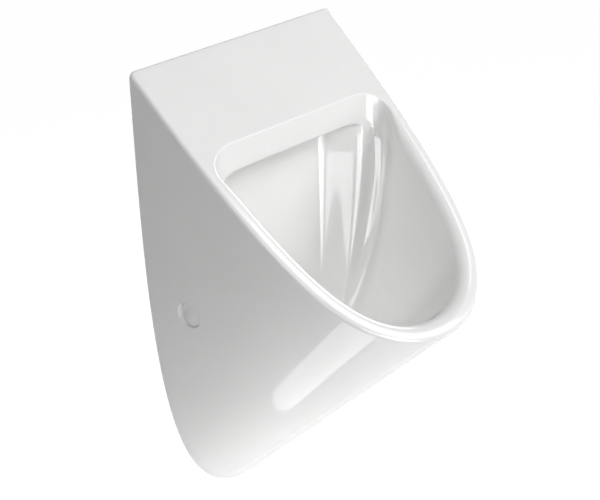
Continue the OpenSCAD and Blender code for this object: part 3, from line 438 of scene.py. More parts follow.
def china_ring(o):
    """The body's sections, one closed loop per station all round the bowl, and
    the number of their points that are glazed."""
    c = o.c
    waste = np.array([0, node_middle("waste_flange")[1], 0])
    rows, start_dir = rim_section(o)
    start = rows[-1]
    spoke = start * [1, 1, 0] - waste
    spoke[0], spoke[-1] = [0, 1, 0], [0, -1, 0]
    spoke = unit(spoke)
    floor_edge = waste + spoke * c.floor_r + UP * c.floor
    span = column(np.linalg.norm(start - floor_edge, axis=1))
    flat_span = column(np.linalg.norm((start - floor_edge)[:, :2], axis=1))
    handles = [start, start + start_dir * span * WALL_PULL_SHARE,
               floor_edge + spoke * flat_span * FLOOR_PULL_SHARE + UP * flat_span * FLOOR_RISE_SHARE,
               floor_edge]

    def bowl(v):
        """Points of the bowl wall, from its straight part at 0 to the floor at 1."""
        return bezier(handles, column(v))

    def behind(v):
        """The same points a china wall further out, along the surface's normal."""
        v = np.minimum(v, BEHIND_LAST_SHARE)
        here, n = bowl(v), c.detail
        wide = np.concatenate([here[n:0:-1] * [-1, 1, 1], here, here[-2:-n - 2:-1] * [-1, 1, 1]])
        along = bezier_run(handles, column(v))
        return here + c.wall * unit(np.cross(wide[2 * n:] - wide[:-2 * n], along))

    # Where the hollow between skin and bowl starts: the first place with enough room.
    grid = np.linspace(0, HOLLOW_LAST_SHARE, 48)
    room = np.stack([o.skin_depth(bowl(v))[0] for v in grid], 1)
    need = HOLLOW_ROOM * c.wall
    hollow = np.array([np.interp(need, np.maximum.accumulate(r), grid) for r in room])
    hollow[:o.on_arc + 1] = 0

    # The inside of the skin, and the hollow's end between it and the bowl.
    band = TOP_WALLS * c.wall
    half = c.width / 2
    inner = o.wall - o.wall_side * column(c.wall / (o.skin_out * o.wall_side).sum(1))
    top_inner = rows_of((half - 2 * c.wall) * o.across, 0, c.top - band)
    turn = np.radians(90 * o.corner_turn)
    turned = rows_of(half - c.wall - c.wall * (1 - np.sin(turn)), 0,
                     c.top - band - c.wall * (1 - np.cos(turn)))
    inner[:o.on_arc + 1] = np.where(column(o.across < 1), top_inner, turned)[:o.on_arc + 1]
    first = behind(hollow)
    depth, nearest = o.skin_depth(first)
    crotch = first + o.skin_out[nearest] * column(depth - c.wall)
    recess = np.array([0, c.recess, RECESS_RISE_SHARE * c.recess])
    crotch = mix(inner - recess, crotch, column(smooth(o.upper)))
    back_run = unit(bezier_run(handles, column(hollow)))
    turn_in = mix(crotch, first, 0.5) - back_run * c.wall / 4
    top_turn = rows_of(mix(crotch[:, 0], first[:, 0], 0.7), crotch[:, 1],
                       mix(crotch[:, 2], first[:, 2], 0.85))
    turn_in[:o.on_arc + 1] = top_turn[:o.on_arc + 1]

    # The glazed side: waste hole, floor, bowl, rim, face, skin and rear edge.
    hole = waste + spoke * c.waste_hole / 2
    edge_r, middle = WASTE_EDGE, WASTE_EDGE * EDGE_MIDDLE_SHARE
    section = [hole + UP * (c.floor - c.boss)]
    section += [hole + UP * (c.floor - edge_r), hole + spoke * middle + UP * (c.floor - middle),
                hole + spoke * edge_r + UP * c.floor]
    section += [mix(hole + UP * c.floor, floor_edge, t) for t in (0.4, 0.7, 0.9)]
    section += [bowl(v) for v in np.linspace(1, 0, 45)[:-1]]
    section += rows[::-1]

    def face_edge(t):
        """The rounded edge between the face and the skin."""
        return rounded_edge(o.face, o.face_out, o.skin_out, c.rim_edge, t)

    def rear_edge(t):
        """The rounded edge between the skin and the wall plane."""
        return rounded_edge(o.wall, o.skin_out, np.array([0.0, 1.0, 0.0]), c.wall_edge, t)

    section += [mix(rows[0], face_edge(0), t) for t in (0.1, 0.35, 0.65, 0.9)]
    section += [face_edge(t) for t in np.linspace(0, 1, 9)]
    section += [mix(face_edge(1.0), rear_edge(0), t) for t in np.linspace(0.02, 0.98, 25)]
    section += [rear_edge(t) for t in np.linspace(0, 1, 5)]
    glazed = len(section)

    # The bare side: inside of the skin, hollow, rear of the bowl and of the floor.
    section += [inner, mix(inner, crotch, 0.1), mix(inner, crotch, 0.5), crotch, turn_in]
    section += [behind(mix(hollow, 1, k / 16)) for k in range(16)]
    under = floor_edge - UP * c.boss
    section += [under, mix(under, hole + UP * (c.floor - c.boss), 0.5)]
    sections = np.stack(section, 1)
    return np.concatenate([sections, sections[-2:0:-1] * [-1, 1, 1]]), glazed


def mesh_object(name, points, faces, sharp=35.0):
    """A mesh of points and faces, smooth but for the edges above an angle in degrees."""
    mesh = bpy.data.meshes.new(name)
    mesh.from_pydata(points.reshape(-1, 3).tolist(), [], faces)
    mesh.validate()
    obj = bpy.data.objects.new(name, mesh)
    bpy.context.scene.collection.objects.link(obj)
    shade(obj, sharp)
    return obj


def shade(obj, sharp):
    """Smooth faces with sharp edges above an angle in degrees."""
    obj.data.polygons.foreach_set("use_smooth", np.ones(len(obj.data.polygons), bool))
    obj.data.set_sharp_from_angle(angle=math.radians(sharp))


def grid_faces(rows, columns, close_rows, close_columns):
    """Quads of a grid of points, closed round either way."""
    i = np.arange(rows if close_rows else rows - 1)[:, None]
    j = np.arange(columns if close_columns else columns - 1)[None]
    a = i * columns + j
    b = (i + 1) % rows * columns + j
    c = (i + 1) % rows * columns + (j + 1) % columns
    d = i * columns + (j + 1) % columns
    return rows_of(a, b, c, d).reshape(-1, 4)


def outwards(points, faces):
    """The faces, turned over where their signed volume is negative."""
    p = points.reshape(-1, 3)[faces]
    volume = np.einsum("ij,ij->", p[:, 0], np.cross(p[:, 1], p[:, 2]))
    volume += np.einsum("ij,ij->", p[:, 0], np.cross(p[:, 2], p[:, 3]))
    return faces[:, ::-1] if volume < 0 else faces


def placed(points, origin, axis):
    """Points about z moved to an origin, with z turned to an axis: "x", "-x", "y", "-y" or "z"."""
    turn = {"x": Matrix.Rotation(math.pi / 2, 3, "Y"), "-x": Matrix.Rotation(-math.pi / 2, 3, "Y"),
            "y": Matrix.Rotation(-math.pi / 2, 3, "X"), "-y": Matrix.Rotation(math.pi / 2, 3, "X"),
            "z": Matrix.Identity(3)}[axis]
    return points @ np.array(turn).T + np.asarray(origin, float)


def lathe(name, profile, origin, axis, segments=96, wave=None, sharp=35.0):
    """Turns a closed profile of radius and height about an axis.

    The radius at an angle a and height z is the profile's, plus wave(a, z, r)
    where one is given. Points on the axis make one pole.
    """
    profile = np.asarray(profile, float)
    a = np.linspace(0, 2 * math.pi, segments, endpoint=False)[:, None]
    r, z = profile[None, :, 0], profile[None, :, 1]
    radius = r + (wave(a, z, r) if wave else 0 * a)
    points = rows_of(radius * np.cos(a), radius * np.sin(a), z)
    on_axis = profile[:, 0] < SAME
    faces = outwards(points, grid_faces(segments, len(profile), True, not on_axis.any()))
    points = placed(points.reshape(-1, 3), origin, axis)
    obj = mesh_object(name, points, faces.tolist(), sharp)
    if on_axis.any():
        weld(obj)
        shade(obj, sharp)
    return obj


def weld(obj):
    """Merges points that lie on each other."""
    modifier = obj.modifiers.new("Weld", "WELD")
    modifier.merge_threshold = 1e-6
    bake(obj)


def bake(obj):
    """Replaces a mesh by what its modifiers make of it."""
    graph = bpy.context.evaluated_depsgraph_get()
    old = obj.data
    obj.data = bpy.data.meshes.new_from_object(obj.evaluated_get(graph))
    obj.modifiers.clear()
    bpy.data.meshes.remove(old)


def cut(obj, tool, operation="DIFFERENCE"):
    """Cuts or joins a closed tool with a boolean, and removes the tool."""
    before = len(obj.data.polygons)
    modifier = obj.modifiers.new("Cut", "BOOLEAN")
    modifier.operation = operation
    modifier.solver = "MANIFOLD"
    modifier.object = tool
    bake(obj)
    if len(obj.data.polygons) == before:
        raise RuntimeError("the boolean left " + obj.name + " as it was")
    mesh = tool.data
    bpy.data.objects.remove(tool)
    bpy.data.meshes.remove(mesh)


def rounded(corners, radii, steps=5):
    """A closed profile whose corners are rounded by arcs of the given radii."""
    corners = np.asarray(corners, float)
    points = []
    for k, radius in enumerate(radii):
        here, before, after = corners[k], corners[k - 1], corners[(k + 1) % len(corners)]
        if radius <= 0:
            points.append(here)
            continue
        a, b = unit(before - here), unit(after - here)
        half = math.acos(float(np.clip(a @ b, -1, 1))) / 2
        reach = radius / math.tan(half)
        centre = here + unit(a + b) * radius / math.sin(half)
        start, end = here + a * reach - centre, here + b * reach - centre
        swing = math.atan2(start[0] * end[1] - start[1] * end[0], start @ end)
        for s in np.linspace(0, swing, steps):
            turn = np.array([[math.cos(s), -math.sin(s)], [math.sin(s), math.cos(s)]])
            points.append(centre + turn @ start)
    return np.array(points)


def about(node, axis):
    """Start on a node's axis, its radius across flats and its length, from its box."""
    low, high = box_corners(node)
    k = "xyz".index(axis[-1])
    start = (low + high) / 2
    start[k] = high[k] if axis[0] == "-" else low[k]
    return start, np.delete(high - low, k).min() / 2, high[k] - low[k]


def plug(radius, start, end, origin, axis, segments=96, soft=0.0):
    """A drum between two places along an axis, with its edges rounded by a radius."""
    corners = [(0, start), (radius, start), (radius, end), (0, end)]
    return lathe("plug", rounded(corners, [0, soft, soft, 0]), origin, axis, segments)


def with_side(profile, at, radius, heights):
    """A profile with more points on its straight side, put in before the point at a place."""
    side = rows_of(radius, heights)
    return np.concatenate([profile[:at], side, profile[at:]])


def ball_cap(q, r, rise, top):
    """Height, at a distance q from the axis, of the ball's cap that has its top at a
    height and falls by its rise at the radius r: the ball's radius is the sum of both
    squares over twice the rise."""
    ball = (r * r + rise * rise) / (2 * rise)
    return top - ball + np.sqrt(ball ** 2 - q ** 2)


def hexagon(a, flats):
    """Radius of a hexagon across the given flats: half of them over the cosine
    of the angle from the nearest flat's middle."""
    return flats / 2 / np.cos(a % (math.pi / 3) - math.pi / 6)


def thread(radius, start, end, pitch, depth):
    """Rows of a threaded length, and its groove: a clipped triangle wave of the
    height over the pitch, less the angle's share of a turn."""
    rows = np.arange(start, end, pitch / 6)

    def groove(a, z, r):
        turn = (z / pitch - a / (2 * math.pi)) % 1
        cut_in = np.clip(1.6 * (1 - np.abs(2 * turn - 1)) - 0.3, 0, 1)
        ends = np.clip(np.minimum(z - start, end - z) / pitch, 0, 1)
        return -depth * cut_in * ends * (np.abs(r - radius) < SAME)

    return rows_of(radius, rows), groove


def ring(name, node, axis, bore, edge=0.0004):
    """A ring that fills a node's box round a bore, with rounded edges."""
    start, r, length = about(node, axis)
    corners = [(bore / 2, 0), (r, 0), (r, length), (bore / 2, length)]
    return lathe(name, rounded(corners, [edge] * 4), start, axis)


def hex_nut(name, node, axis, bore):
    """A hexagonal nut: at each angle and height the least of the hexagon and of a
    30 degree cone at either end."""
    start, half, length = about(node, axis)
    shares = [np.linspace(0, 0.12, 6), np.linspace(0.2, 0.8, 4), np.linspace(0.88, 1, 6)]
    rows = np.concatenate(shares) * length

    def outside(a, z, r):
        cone = half * 0.98 + np.minimum(z, length - z) * math.sqrt(3)
        return (np.minimum(hexagon(a, 2 * half), cone) - r) * (r > half - SAME)

    lead = 0.06 * bore
    inside = [(bore / 2 + lead, length), (bore / 2, length - lead), (bore / 2, lead), (bore / 2 + lead, 0)]
    profile = np.concatenate([rows_of(half, rows), inside])
    return lathe(name, profile, start, axis, 96, outside, 25.0)


def union_nut(name, node, axis, bore, mouth, lip):
    """A moulded union nut: grip ribs sink its side by a clipped cosine of the angle."""
    start, r, length = about(node, axis)
    corners = [(bore / 2, 0), (r, 0), (r, length), (mouth / 2, length), (mouth / 2, lip), (bore / 2, lip)]
    profile = rounded(corners, [0.0005, 0.0016, 0.0008, 0.0004, 0, 0])
    at = int(np.argmax(profile[:, 1] > 0.1 * length))
    profile = with_side(profile, at, r, np.linspace(0.12, 0.94, 7) * length)
    return lathe(name, profile, start, axis, 192, ribs(r, 0.16 * length, 0.84 * length), 40.0)


def ribs(radius, low, high, count=16):
    """Grooves between grip ribs on a side of a given radius, between two heights."""
    def grip(a, z, r):
        groove = np.clip(0.5 - 0.9 * np.cos(count * a), 0, 1)
        fade = smooth((z - low) / RIB_FADE) * smooth((high - z) / RIB_FADE)
        return -RIB_DEPTH * groove * fade * (np.abs(r - radius) < SAME)

    return grip


def piped(name, centres, tangents, radii):
    """Circles carried along a path in the plane of y and z: each has its centre,
    the path's direction and a radius, and the last meets the first."""
    centres, tangents, radii = (np.asarray(v, float) for v in (centres, tangents, radii))
    segments = 72
    a = np.linspace(0, 2 * math.pi, segments, endpoint=False)[None, :, None]
    side = np.array([1.0, 0.0, 0.0])
    upward = np.cross(tangents, side)[:, None]
    points = centres[:, None] + radii[:, None, None] * (np.cos(a) * side + np.sin(a) * upward)
    faces = outwards(points, grid_faces(len(radii), segments, True, True))
    return mesh_object(name, points, faces.tolist(), 40.0)


def prism(name, outline, low, high, axis):
    """A closed outline carried straight along x, y or z between two flat ends."""
    outline = np.asarray(outline, float)
    area = (outline[:, 0] * np.roll(outline[:, 1], -1) - outline[:, 1] * np.roll(outline[:, 0], -1)).sum()
    if (area < 0) != (axis == "y"):
        outline = outline[::-1]
    n, k = len(outline), "xyz".index(axis)
    points = np.concatenate([np.insert(outline, k, value, axis=1) for value in (low, high)])
    faces = grid_faces(2, n, False, True)[:, ::-1].tolist()
    return mesh_object(name, points, faces + [list(range(n))[::-1], list(range(n, 2 * n))])


def drums(name, centres, radius, low, high, segments=32):
    """Equal round plugs along z about several centres, as one mesh of closed shells."""
    a = np.linspace(0, 2 * math.pi, segments, endpoint=False)
    disc = rows_of(radius * np.cos(a), radius * np.sin(a))
    centres = np.asarray(centres, float)
    flat = centres[:, None, None, :] + disc[None, None]
    flat = np.broadcast_to(flat, (len(centres), 2, segments, 2))
    height = np.broadcast_to(np.array([low, high])[None, :, None, None], flat.shape[:3] + (1,))
    points = np.concatenate([flat, height], -1).reshape(-1, 3)
    starts = 2 * segments * np.arange(len(centres))[:, None, None]
    sides = (starts + grid_faces(2, segments, False, True)[None, :, ::-1]).reshape(-1, 4).tolist()
    disc_faces = np.stack([np.arange(segments)[::-1], segments + np.arange(segments)])[None]
    return mesh_object(name, points, sides + (starts + disc_faces).reshape(-1, segments).tolist())


def soften(obj, width):
    """Rounds the edges sharper than 30 degrees."""
    modifier = obj.modifiers.new("Bevel", "BEVEL")
    modifier.width, modifier.segments = width, 2
    modifier.limit_method, modifier.angle_limit = "ANGLE", math.radians(30)
    modifier.use_clamp_overlap = True
    bake(obj)


class Value:
    """A socket of a node tree. Expressions on values add Math nodes."""

    def __init__(self, nodes, socket):
        self.nodes, self.socket = nodes, socket

    def math(self, operation, a, b):
        """A Math node on two values or numbers."""
        return self.nodes.node("ShaderNodeMath", {"operation": operation}, {0: a, 1: b})

    def __add__(self, other):
        return self.math("ADD", self, other)

    def __radd__(self, other):
        return self.math("ADD", other, self)

    def __mul__(self, other):
        return self.math("MULTIPLY", self, other)

    def __rmul__(self, other):
        return self.math("MULTIPLY", other, self)

    def most(self, other):
        """The larger of two values."""
        return self.math("MAXIMUM", self, other)


class Nodes:
    """The nodes of a material or of the world, all added by one method."""

    def __init__(self, tree):
        self.tree = tree

    def set(self, node, inputs):
        """Links values, and sets plain numbers and colours on a node's sockets."""
        for key, value in inputs.items():
            socket = node.inputs[key.replace("_", " ") if isinstance(key, str) else key]
            if isinstance(value, Value):
                self.tree.links.new(value.socket, socket)
            else:
                socket.default_value = value

    def node(self, kind, settings=None, inputs=None, output=0):
        """Adds a node of a type, sets its settings first, then its inputs. The stops
        are the places of a ramp's black and its white."""
        node = self.tree.nodes.new(kind)
        for key, value in (settings or {}).items():
            if key == "stops":
                for element, place in zip(node.color_ramp.elements, value):
                    element.position = place
            else:
                setattr(node, key, value)
        self.set(node, inputs or {})
        return Value(self, node.outputs[output])

    def seen(self):
        """1 for camera, glossy and transmission rays, and 0 for all others."""
        kinds = ("Is Camera Ray", "Is Glossy Ray", "Is Transmission Ray")
        camera, glossy, transmission = (self.node("ShaderNodeLightPath", output=kind) for kind in kinds)
        return camera.most(glossy).most(transmission)


class Shader(Nodes):
    """A material with a Principled BSDF, and the patterns that the finishes are made of."""

    def __init__(self, name, **sockets):
        self.material = bpy.data.materials.new(name)
        self.material.use_nodes = True
        super().__init__(self.material.node_tree)
        self.surface = self.tree.nodes["Principled BSDF"]
        self.set(self.surface, sockets)

    def ramp(self, value, low, high):
        """0 up to a low value, 1 from a high one, and straight between."""
        return self.node("ShaderNodeValToRGB", {"stops": (low, high)}, {0: value})

    def place(self):
        """Object coordinates."""
        return self.node("ShaderNodeTexCoord", output="Object")

    def stretched(self, scale):
        """Object coordinates scaled along each axis."""
        return self.node("ShaderNodeMapping", {"vector_type": "POINT"},
                         {"Vector": self.place(), "Scale": scale})

    def noise(self, scale, detail=3.0, vector=None):
        """Fractal noise on object coordinates, or on a given vector."""
        return self.node("ShaderNodeTexNoise", {}, {"Vector": vector or self.place(), "Scale": scale,
                                                    "Detail": detail})

    def blend(self, factor, a, b):
        """A mix of two colours by a factor."""
        return self.node("ShaderNodeMix", {"data_type": "RGBA"}, {0: factor, 6: a, 7: b}, 2)

    def bump(self, height, strength, distance):
        """A bump from heights, on the surface's normal."""
        self.set(self.surface, {"Normal": self.node("ShaderNodeBump", {}, {
            "Height": height, "Strength": strength, "Distance": distance})})

    def glow(self, strength):
        """White light of a strength."""
        return self.node("ShaderNodeEmission", {}, {"Color": (1, 1, 1, 1), "Strength": strength})

    def show(self, value):
        """Puts a shader's value on the material's output."""
        self.set(self.tree.nodes["Material Output"], {"Surface": value})


def rgba(tone, gain=1.0):
    """A colour with its alpha, lighter or darker by a gain."""
    return (*(min(1.0, channel * gain) for channel in tone), 1.0)


class UrinalFinish(bpy.types.PropertyGroup):
    """Colours of the finishes"""
    china: colour("China", "White glaze of the body", (0.86, 0.86, 0.855))
    bare: colour("Bare china", "Unglazed china inside the body", (0.80, 0.78, 0.74))
    cap: colour("Cap", "Plastic of the screw covers", (0.92, 0.92, 0.915))
    trap: colour("Trap", "Moulded plastic of the trap", (0.80, 0.81, 0.81))
    rubber: colour("Rubber", "Seals", (0.025, 0.025, 0.026))
    bush: colour("Bush", "Plastic of the bushes and pipes", (0.72, 0.72, 0.69))
    brass: colour("Brass", "Nuts and spud", (0.72, 0.50, 0.22))
    copper: colour("Copper", "Supply pipe", (0.70, 0.36, 0.22))


def glazed_china(f):
    """White glaze: a faint orange peel, a little mottling of the tone and soft clouds in the gloss."""
    s = Shader("glazed_china", Roughness=0.06, IOR=1.52, Coat_Weight=0.35, Coat_Roughness=0.03)
    clouds = s.noise(9.0, 4.0)
    s.set(s.surface, {"Base Color": s.blend(s.ramp(clouds, 0.35, 0.65),
                                            rgba(f.china, 0.985), rgba(f.china, 1.01)),
                      "Roughness": 0.045 + 0.03 * s.noise(38.0, 2.0)})
    s.bump(s.noise(160.0, 2.0), 0.06, 0.0002)
    return s.material


def bare_china(f):
    """Bare fired clay: matt, a little creamy, with pores and coarse clouds in its tone."""
    s = Shader("bare_china", Specular_IOR_Level=0.3)
    pores = s.ramp(s.noise(420.0), 0.45, 0.6)
    s.set(s.surface, {"Base Color": s.blend(s.noise(14.0, 4.0), rgba(f.bare, 0.93), rgba(f.bare, 1.03)),
                      "Roughness": 0.55 + 0.2 * pores})
    s.bump(pores, 0.18, 0.0003)
    return s.material


def moulded_plastic(name, tone, rough, grain):
    """Moulded plastic: a fine grain in the bump, and a tone that drifts with the flow."""
    s = Shader(name, Roughness=rough, IOR=1.49)
    s.set(s.surface, {"Base Color": s.blend(s.noise(25.0), rgba(tone, 0.96), rgba(tone, 1.02)),
                      "Roughness": rough + 0.08 * s.noise(140.0, 2.0)})
    s.bump(s.noise(grain, 2.0), 0.12, 0.0002)
    return s.material


def zinc_steel(name="zinc_steel", gain=1.0):
    """Zinc plated steel: spangled patches of tone and roughness, with fine rolling marks."""
    s = Shader(name, Metallic=1.0)
    patches = s.node("ShaderNodeTexVoronoi", {}, {"Vector": s.place(), "Scale": 260.0}, output=1)
    marks = s.noise(60.0, vector=s.stretched((1.0, 1.0, 14.0)))
    s.set(s.surface, {"Base Color": s.blend(s.ramp(marks, 0.3, 0.7),
                                            rgba((0.50, 0.51, 0.53), gain), rgba((0.66, 0.67, 0.69), gain)),
                      "Roughness": 0.28 + 0.16 * patches})
    s.bump(marks, 0.1, 0.0002)
    return s.material


def chromed():
    """Polished chrome: a mirror with faint smears in its roughness."""
    s = Shader("chromed", Metallic=1.0, Base_Color=(0.78, 0.79, 0.80, 1))
    smears = s.ramp(s.noise(45.0, 4.0), 0.45, 0.8)
    s.set(s.surface, {"Roughness": 0.05 + 0.14 * smears})
    s.bump(s.noise(300.0, 2.0), 0.03, 0.0001)
    return s.material


def black_rubber(f, name="black_rubber"):
    """Matt black rubber with bloom: paler where a coarse noise is high."""
    s = Shader(name, Specular_IOR_Level=0.35)
    bloom = s.ramp(s.noise(70.0, 4.0), 0.4, 0.75)
    s.set(s.surface, {"Base Color": s.blend(bloom, rgba(f.rubber), rgba(f.rubber, 2.2)),
                      "Roughness": 0.62 + 0.2 * s.noise(200.0, 2.0)})
    s.bump(s.noise(420.0, 2.0), 0.25, 0.0002)
    return s.material


def turned_metal(name, tone, rings):
    """Turned brass or drawn copper: fine rings along y, and tarnish where a noise is high."""
    s = Shader(name, Metallic=1.0)
    tarnish = s.ramp(s.noise(55.0, 4.0), 0.45, 0.75)
    marks = s.node("ShaderNodeTexWave", {"bands_direction": "Y"}, {"Vector": s.place(), "Scale": rings,
                                                                  "Distortion": 0.6})
    s.set(s.surface, {"Base Color": s.blend(tarnish, rgba(tone), rgba(tone, 0.62)),
                      "Roughness": 0.22 + 0.2 * tarnish})
    s.bump(marks, 0.08, 0.0001)
    return s.material


def add_piece(obj, materials, body, slot, *nodes):
    """Finishes a new piece: materials, body that it rides on, slot, which is not used, and the nodes it
    stands for.
    """
    slots = obj.data.materials
    wanted = materials if isinstance(materials, list) else [materials]
    for index, material in enumerate(wanted):
        if index < len(slots):
            slots[index] = material
        else:
            slots.append(material)
    while len(slots) > len(wanted):
        slots.pop()
    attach(obj, body)
    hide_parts(*nodes)


def add_fixed(rows):
    """Finishes the pieces that are fixed: rows of object, material, slot and node."""
    for obj, material, slot, node in rows:
        add_piece(obj, material, "urinal", slot, node)


class URINAL_OT_china(bpy.types.Operator):
    """The glazed body: a lofted ring of sections, with its side recesses, flush channel and holes"""
    bl_idname = "urinal.china"
    bl_label = "China body"

    def execute(self, context):
        o = Outline(context.scene.urinal_china)
        ring, glazed = china_ring(o)
        faces = outwards(ring, grid_faces(len(ring), ring.shape[1], True, True))
        body = mesh_object("china_body", ring, faces.tolist())
        bare = np.tile(np.arange(ring.shape[1]) >= glazed - 1, len(ring))
        body.data.polygons.foreach_set("material_index", bare.astype(np.int32))
        for side in (-1, 1):
            self.side_recess(body, o, side)
        self.flush_water(body, o)
        shade(body, 28)
        finish = context.scene.urinal_finish
        add_piece(body, [glazed_china(finish), bare_china(finish)], "urinal", "china", "ceramic_body")
        return {"FINISHED"}

    def side_recess(self, body, o, side):
        """A pad behind a side screw and its hole, then a recess whose rim follows the
        skin: each point lies under the skin by a quarter circle of its distance out."""
        c = o.c
        name = "left" if side < 0 else "right"
        _, y, z = node_middle("side_screw_" + name)
        inner = farthest_x("wall_bracket_" + name)
        seat = farthest_x("side_bush_" + name) - BUSH_FLANGE
        pad = plug(c.side_pad / 2, inner, seat + PAD_PAST_SEAT, (0, y, z), "x" if side > 0 else "-x", 64)
        pad.data.polygons.foreach_set("material_index", np.ones(len(pad.data.polygons), np.int32))
        cut(body, pad, "UNION")
        r, hole, lip, over = c.side_recess / 2, c.side_hole / 2, c.side_lip, 0.0004

        # The tool's outline from its inner end: the hole, the seat, the roll and the outer end.
        t = np.radians(np.linspace(0, 75, 7))
        out = np.concatenate([[0, hole, hole, r], r + lip * (1 - np.cos(t)), [r + lip + over] * 2, [0]])
        roll = slice(4, 4 + len(t))
        a = np.linspace(0, 2 * math.pi, 96, endpoint=False)[:, None]
        ys, zs = y + out * np.cos(a), z + out * np.sin(a)
        xs = o.skin_x(ys, zs)
        xs[:, :4] = [inner - 2 * OVER] * 2 + [seat] * 2
        xs[:, roll] -= lip * (1 - np.sin(t))
        xs[:, roll.stop] += over
        xs[:, roll.stop + 1:] = c.width / 2 + 10 * OVER
        points = rows_of(side * xs, ys, zs)
        tool = mesh_object("recess", points, outwards(points, grid_faces(96, len(out), True, False)).tolist())
        weld(tool)
        cut(body, tool)

    def flush_water(self, body, o):
        """The channel behind the ledge, the row of holes under it, and the inlet's hole."""
        c = o.c
        edge = o.on_face(o.opening)[0] - c.ledge_edge * o.face_out
        back, front = -c.recess - c.web, edge[1] - c.ledge_edge + c.ledge_t
        under = edge[2] - c.ledge_h + c.ledge_edge
        floor = under + c.ledge_t

        def roof(y):
            return c.top - (c.wall + o.face_out[1] * (y + c.top_land)) / o.face_out[2]

        corners = [(back, floor), (front, floor), (front, roof(front)), (back, roof(back))]
        cut(body, prism("channel", rounded(corners, [0.003] * 4, 7), -c.ledge_half, c.ledge_half, "x"))
        across = (np.arange(c.flush_holes) - (c.flush_holes - 1) / 2) * c.flush_pitch
        places = rows_of(across, front + c.flush_hole)
        cut(body, drums("flush", places, c.flush_hole / 2, under - OVER, floor + OVER))
        z = node_middle("inlet_pipe")[2]
        cut(body, plug(c.inlet_hole / 2, back - OVER, -c.recess + OVER, (0, 0, z), "y", 64))


class UrinalFittings(bpy.types.PropertyGroup):
    """Sizes of the fittings, besides those that their solids' boxes give"""
    screw: metres("Side screw", "Thread diameter of the side screws", 0.008)
    screw_head: metres("Screw head", "Height of the screw head", 0.005)
    clearance: metres("Clearance", "Room on the diameter between a thread and its bore", 0.0002)
    hole_room: metres("Hole room", "Room on the diameter where a screw passes through", 0.001)
    bush_flange: metres("Bush flange", "Thickness of the bush's flange", BUSH_FLANGE)
    cap_wall: metres("Cover wall", "Wall of the screw cover", 0.0018)
    cap_dome: metres("Cover dome", "Rise of the screw cover's dome", 0.0034)
    steel: metres("Bracket steel", "Thickness of the wall brackets", 0.003)
    arm_h: metres("Arm height", "Height of the arm that carries the china", 0.044)
    gusset: metres("Gusset", "Reach of the stiffening web from the wall", 0.042)
    wall_hole: metres("Wall hole", "Diameter of the wall screw holes", 0.009)
    wall_hole_in: metres("Wall hole in", "Distance of the wall screws from the arm's outer face", 0.028)
    wall_pitch: metres("Wall pitch", "Distance between the two wall screws of a bracket", 0.044)
    tail: metres("Waste tail", "Diameter of the threaded waste tail", 0.035)
    tail_wall: metres("Tail wall", "Wall of the waste tail", 0.0025)
    flange_t: metres("Waste flange", "Thickness of the waste flange", 0.003)
    seat: metres("Strainer seat", "Diameter of the strainer's seat", 0.060)
    seat_t: metres("Seat depth", "Depth of the strainer's seat", 0.0015)
    strainer_t: metres("Strainer", "Thickness of the strainer", 0.0015)
    strainer_hole: metres("Strainer hole", "Diameter of the strainer's holes", 0.004)
    strainer_pitch: metres("Strainer pitch", "Distance between two rings of holes", 0.0075)
    trap_wall: metres("Trap wall", "Wall of the moulded trap pieces", 0.003)
    pipe: metres("Trap pipe", "Outer diameter of the trap's pipes", 0.032)
    pipe_wall: metres("Pipe wall", "Wall of the trap's pipes", 0.002)
    dip: metres("Dip tube", "Outer diameter of the dip tube", 0.030)
    elbow_r: metres("Elbow radius", "Radius of the elbow's axis", 0.017)
    socket: metres("Socket", "Depth of the elbow's socket", 0.012)
    nut_lip: metres("Nut lip", "Thickness of a union nut's lip", 0.002)
    supply: metres("Supply pipe", "Outer diameter of the supply pipe", 0.020)
    supply_wall: metres("Supply wall", "Wall of the supply pipe", 0.0015)
    spud: metres("Spud", "Outer diameter of the threaded spud", 0.025)
    spud_flange: metres("Spud flange", "Thickness of the spud's front flange", 0.003)


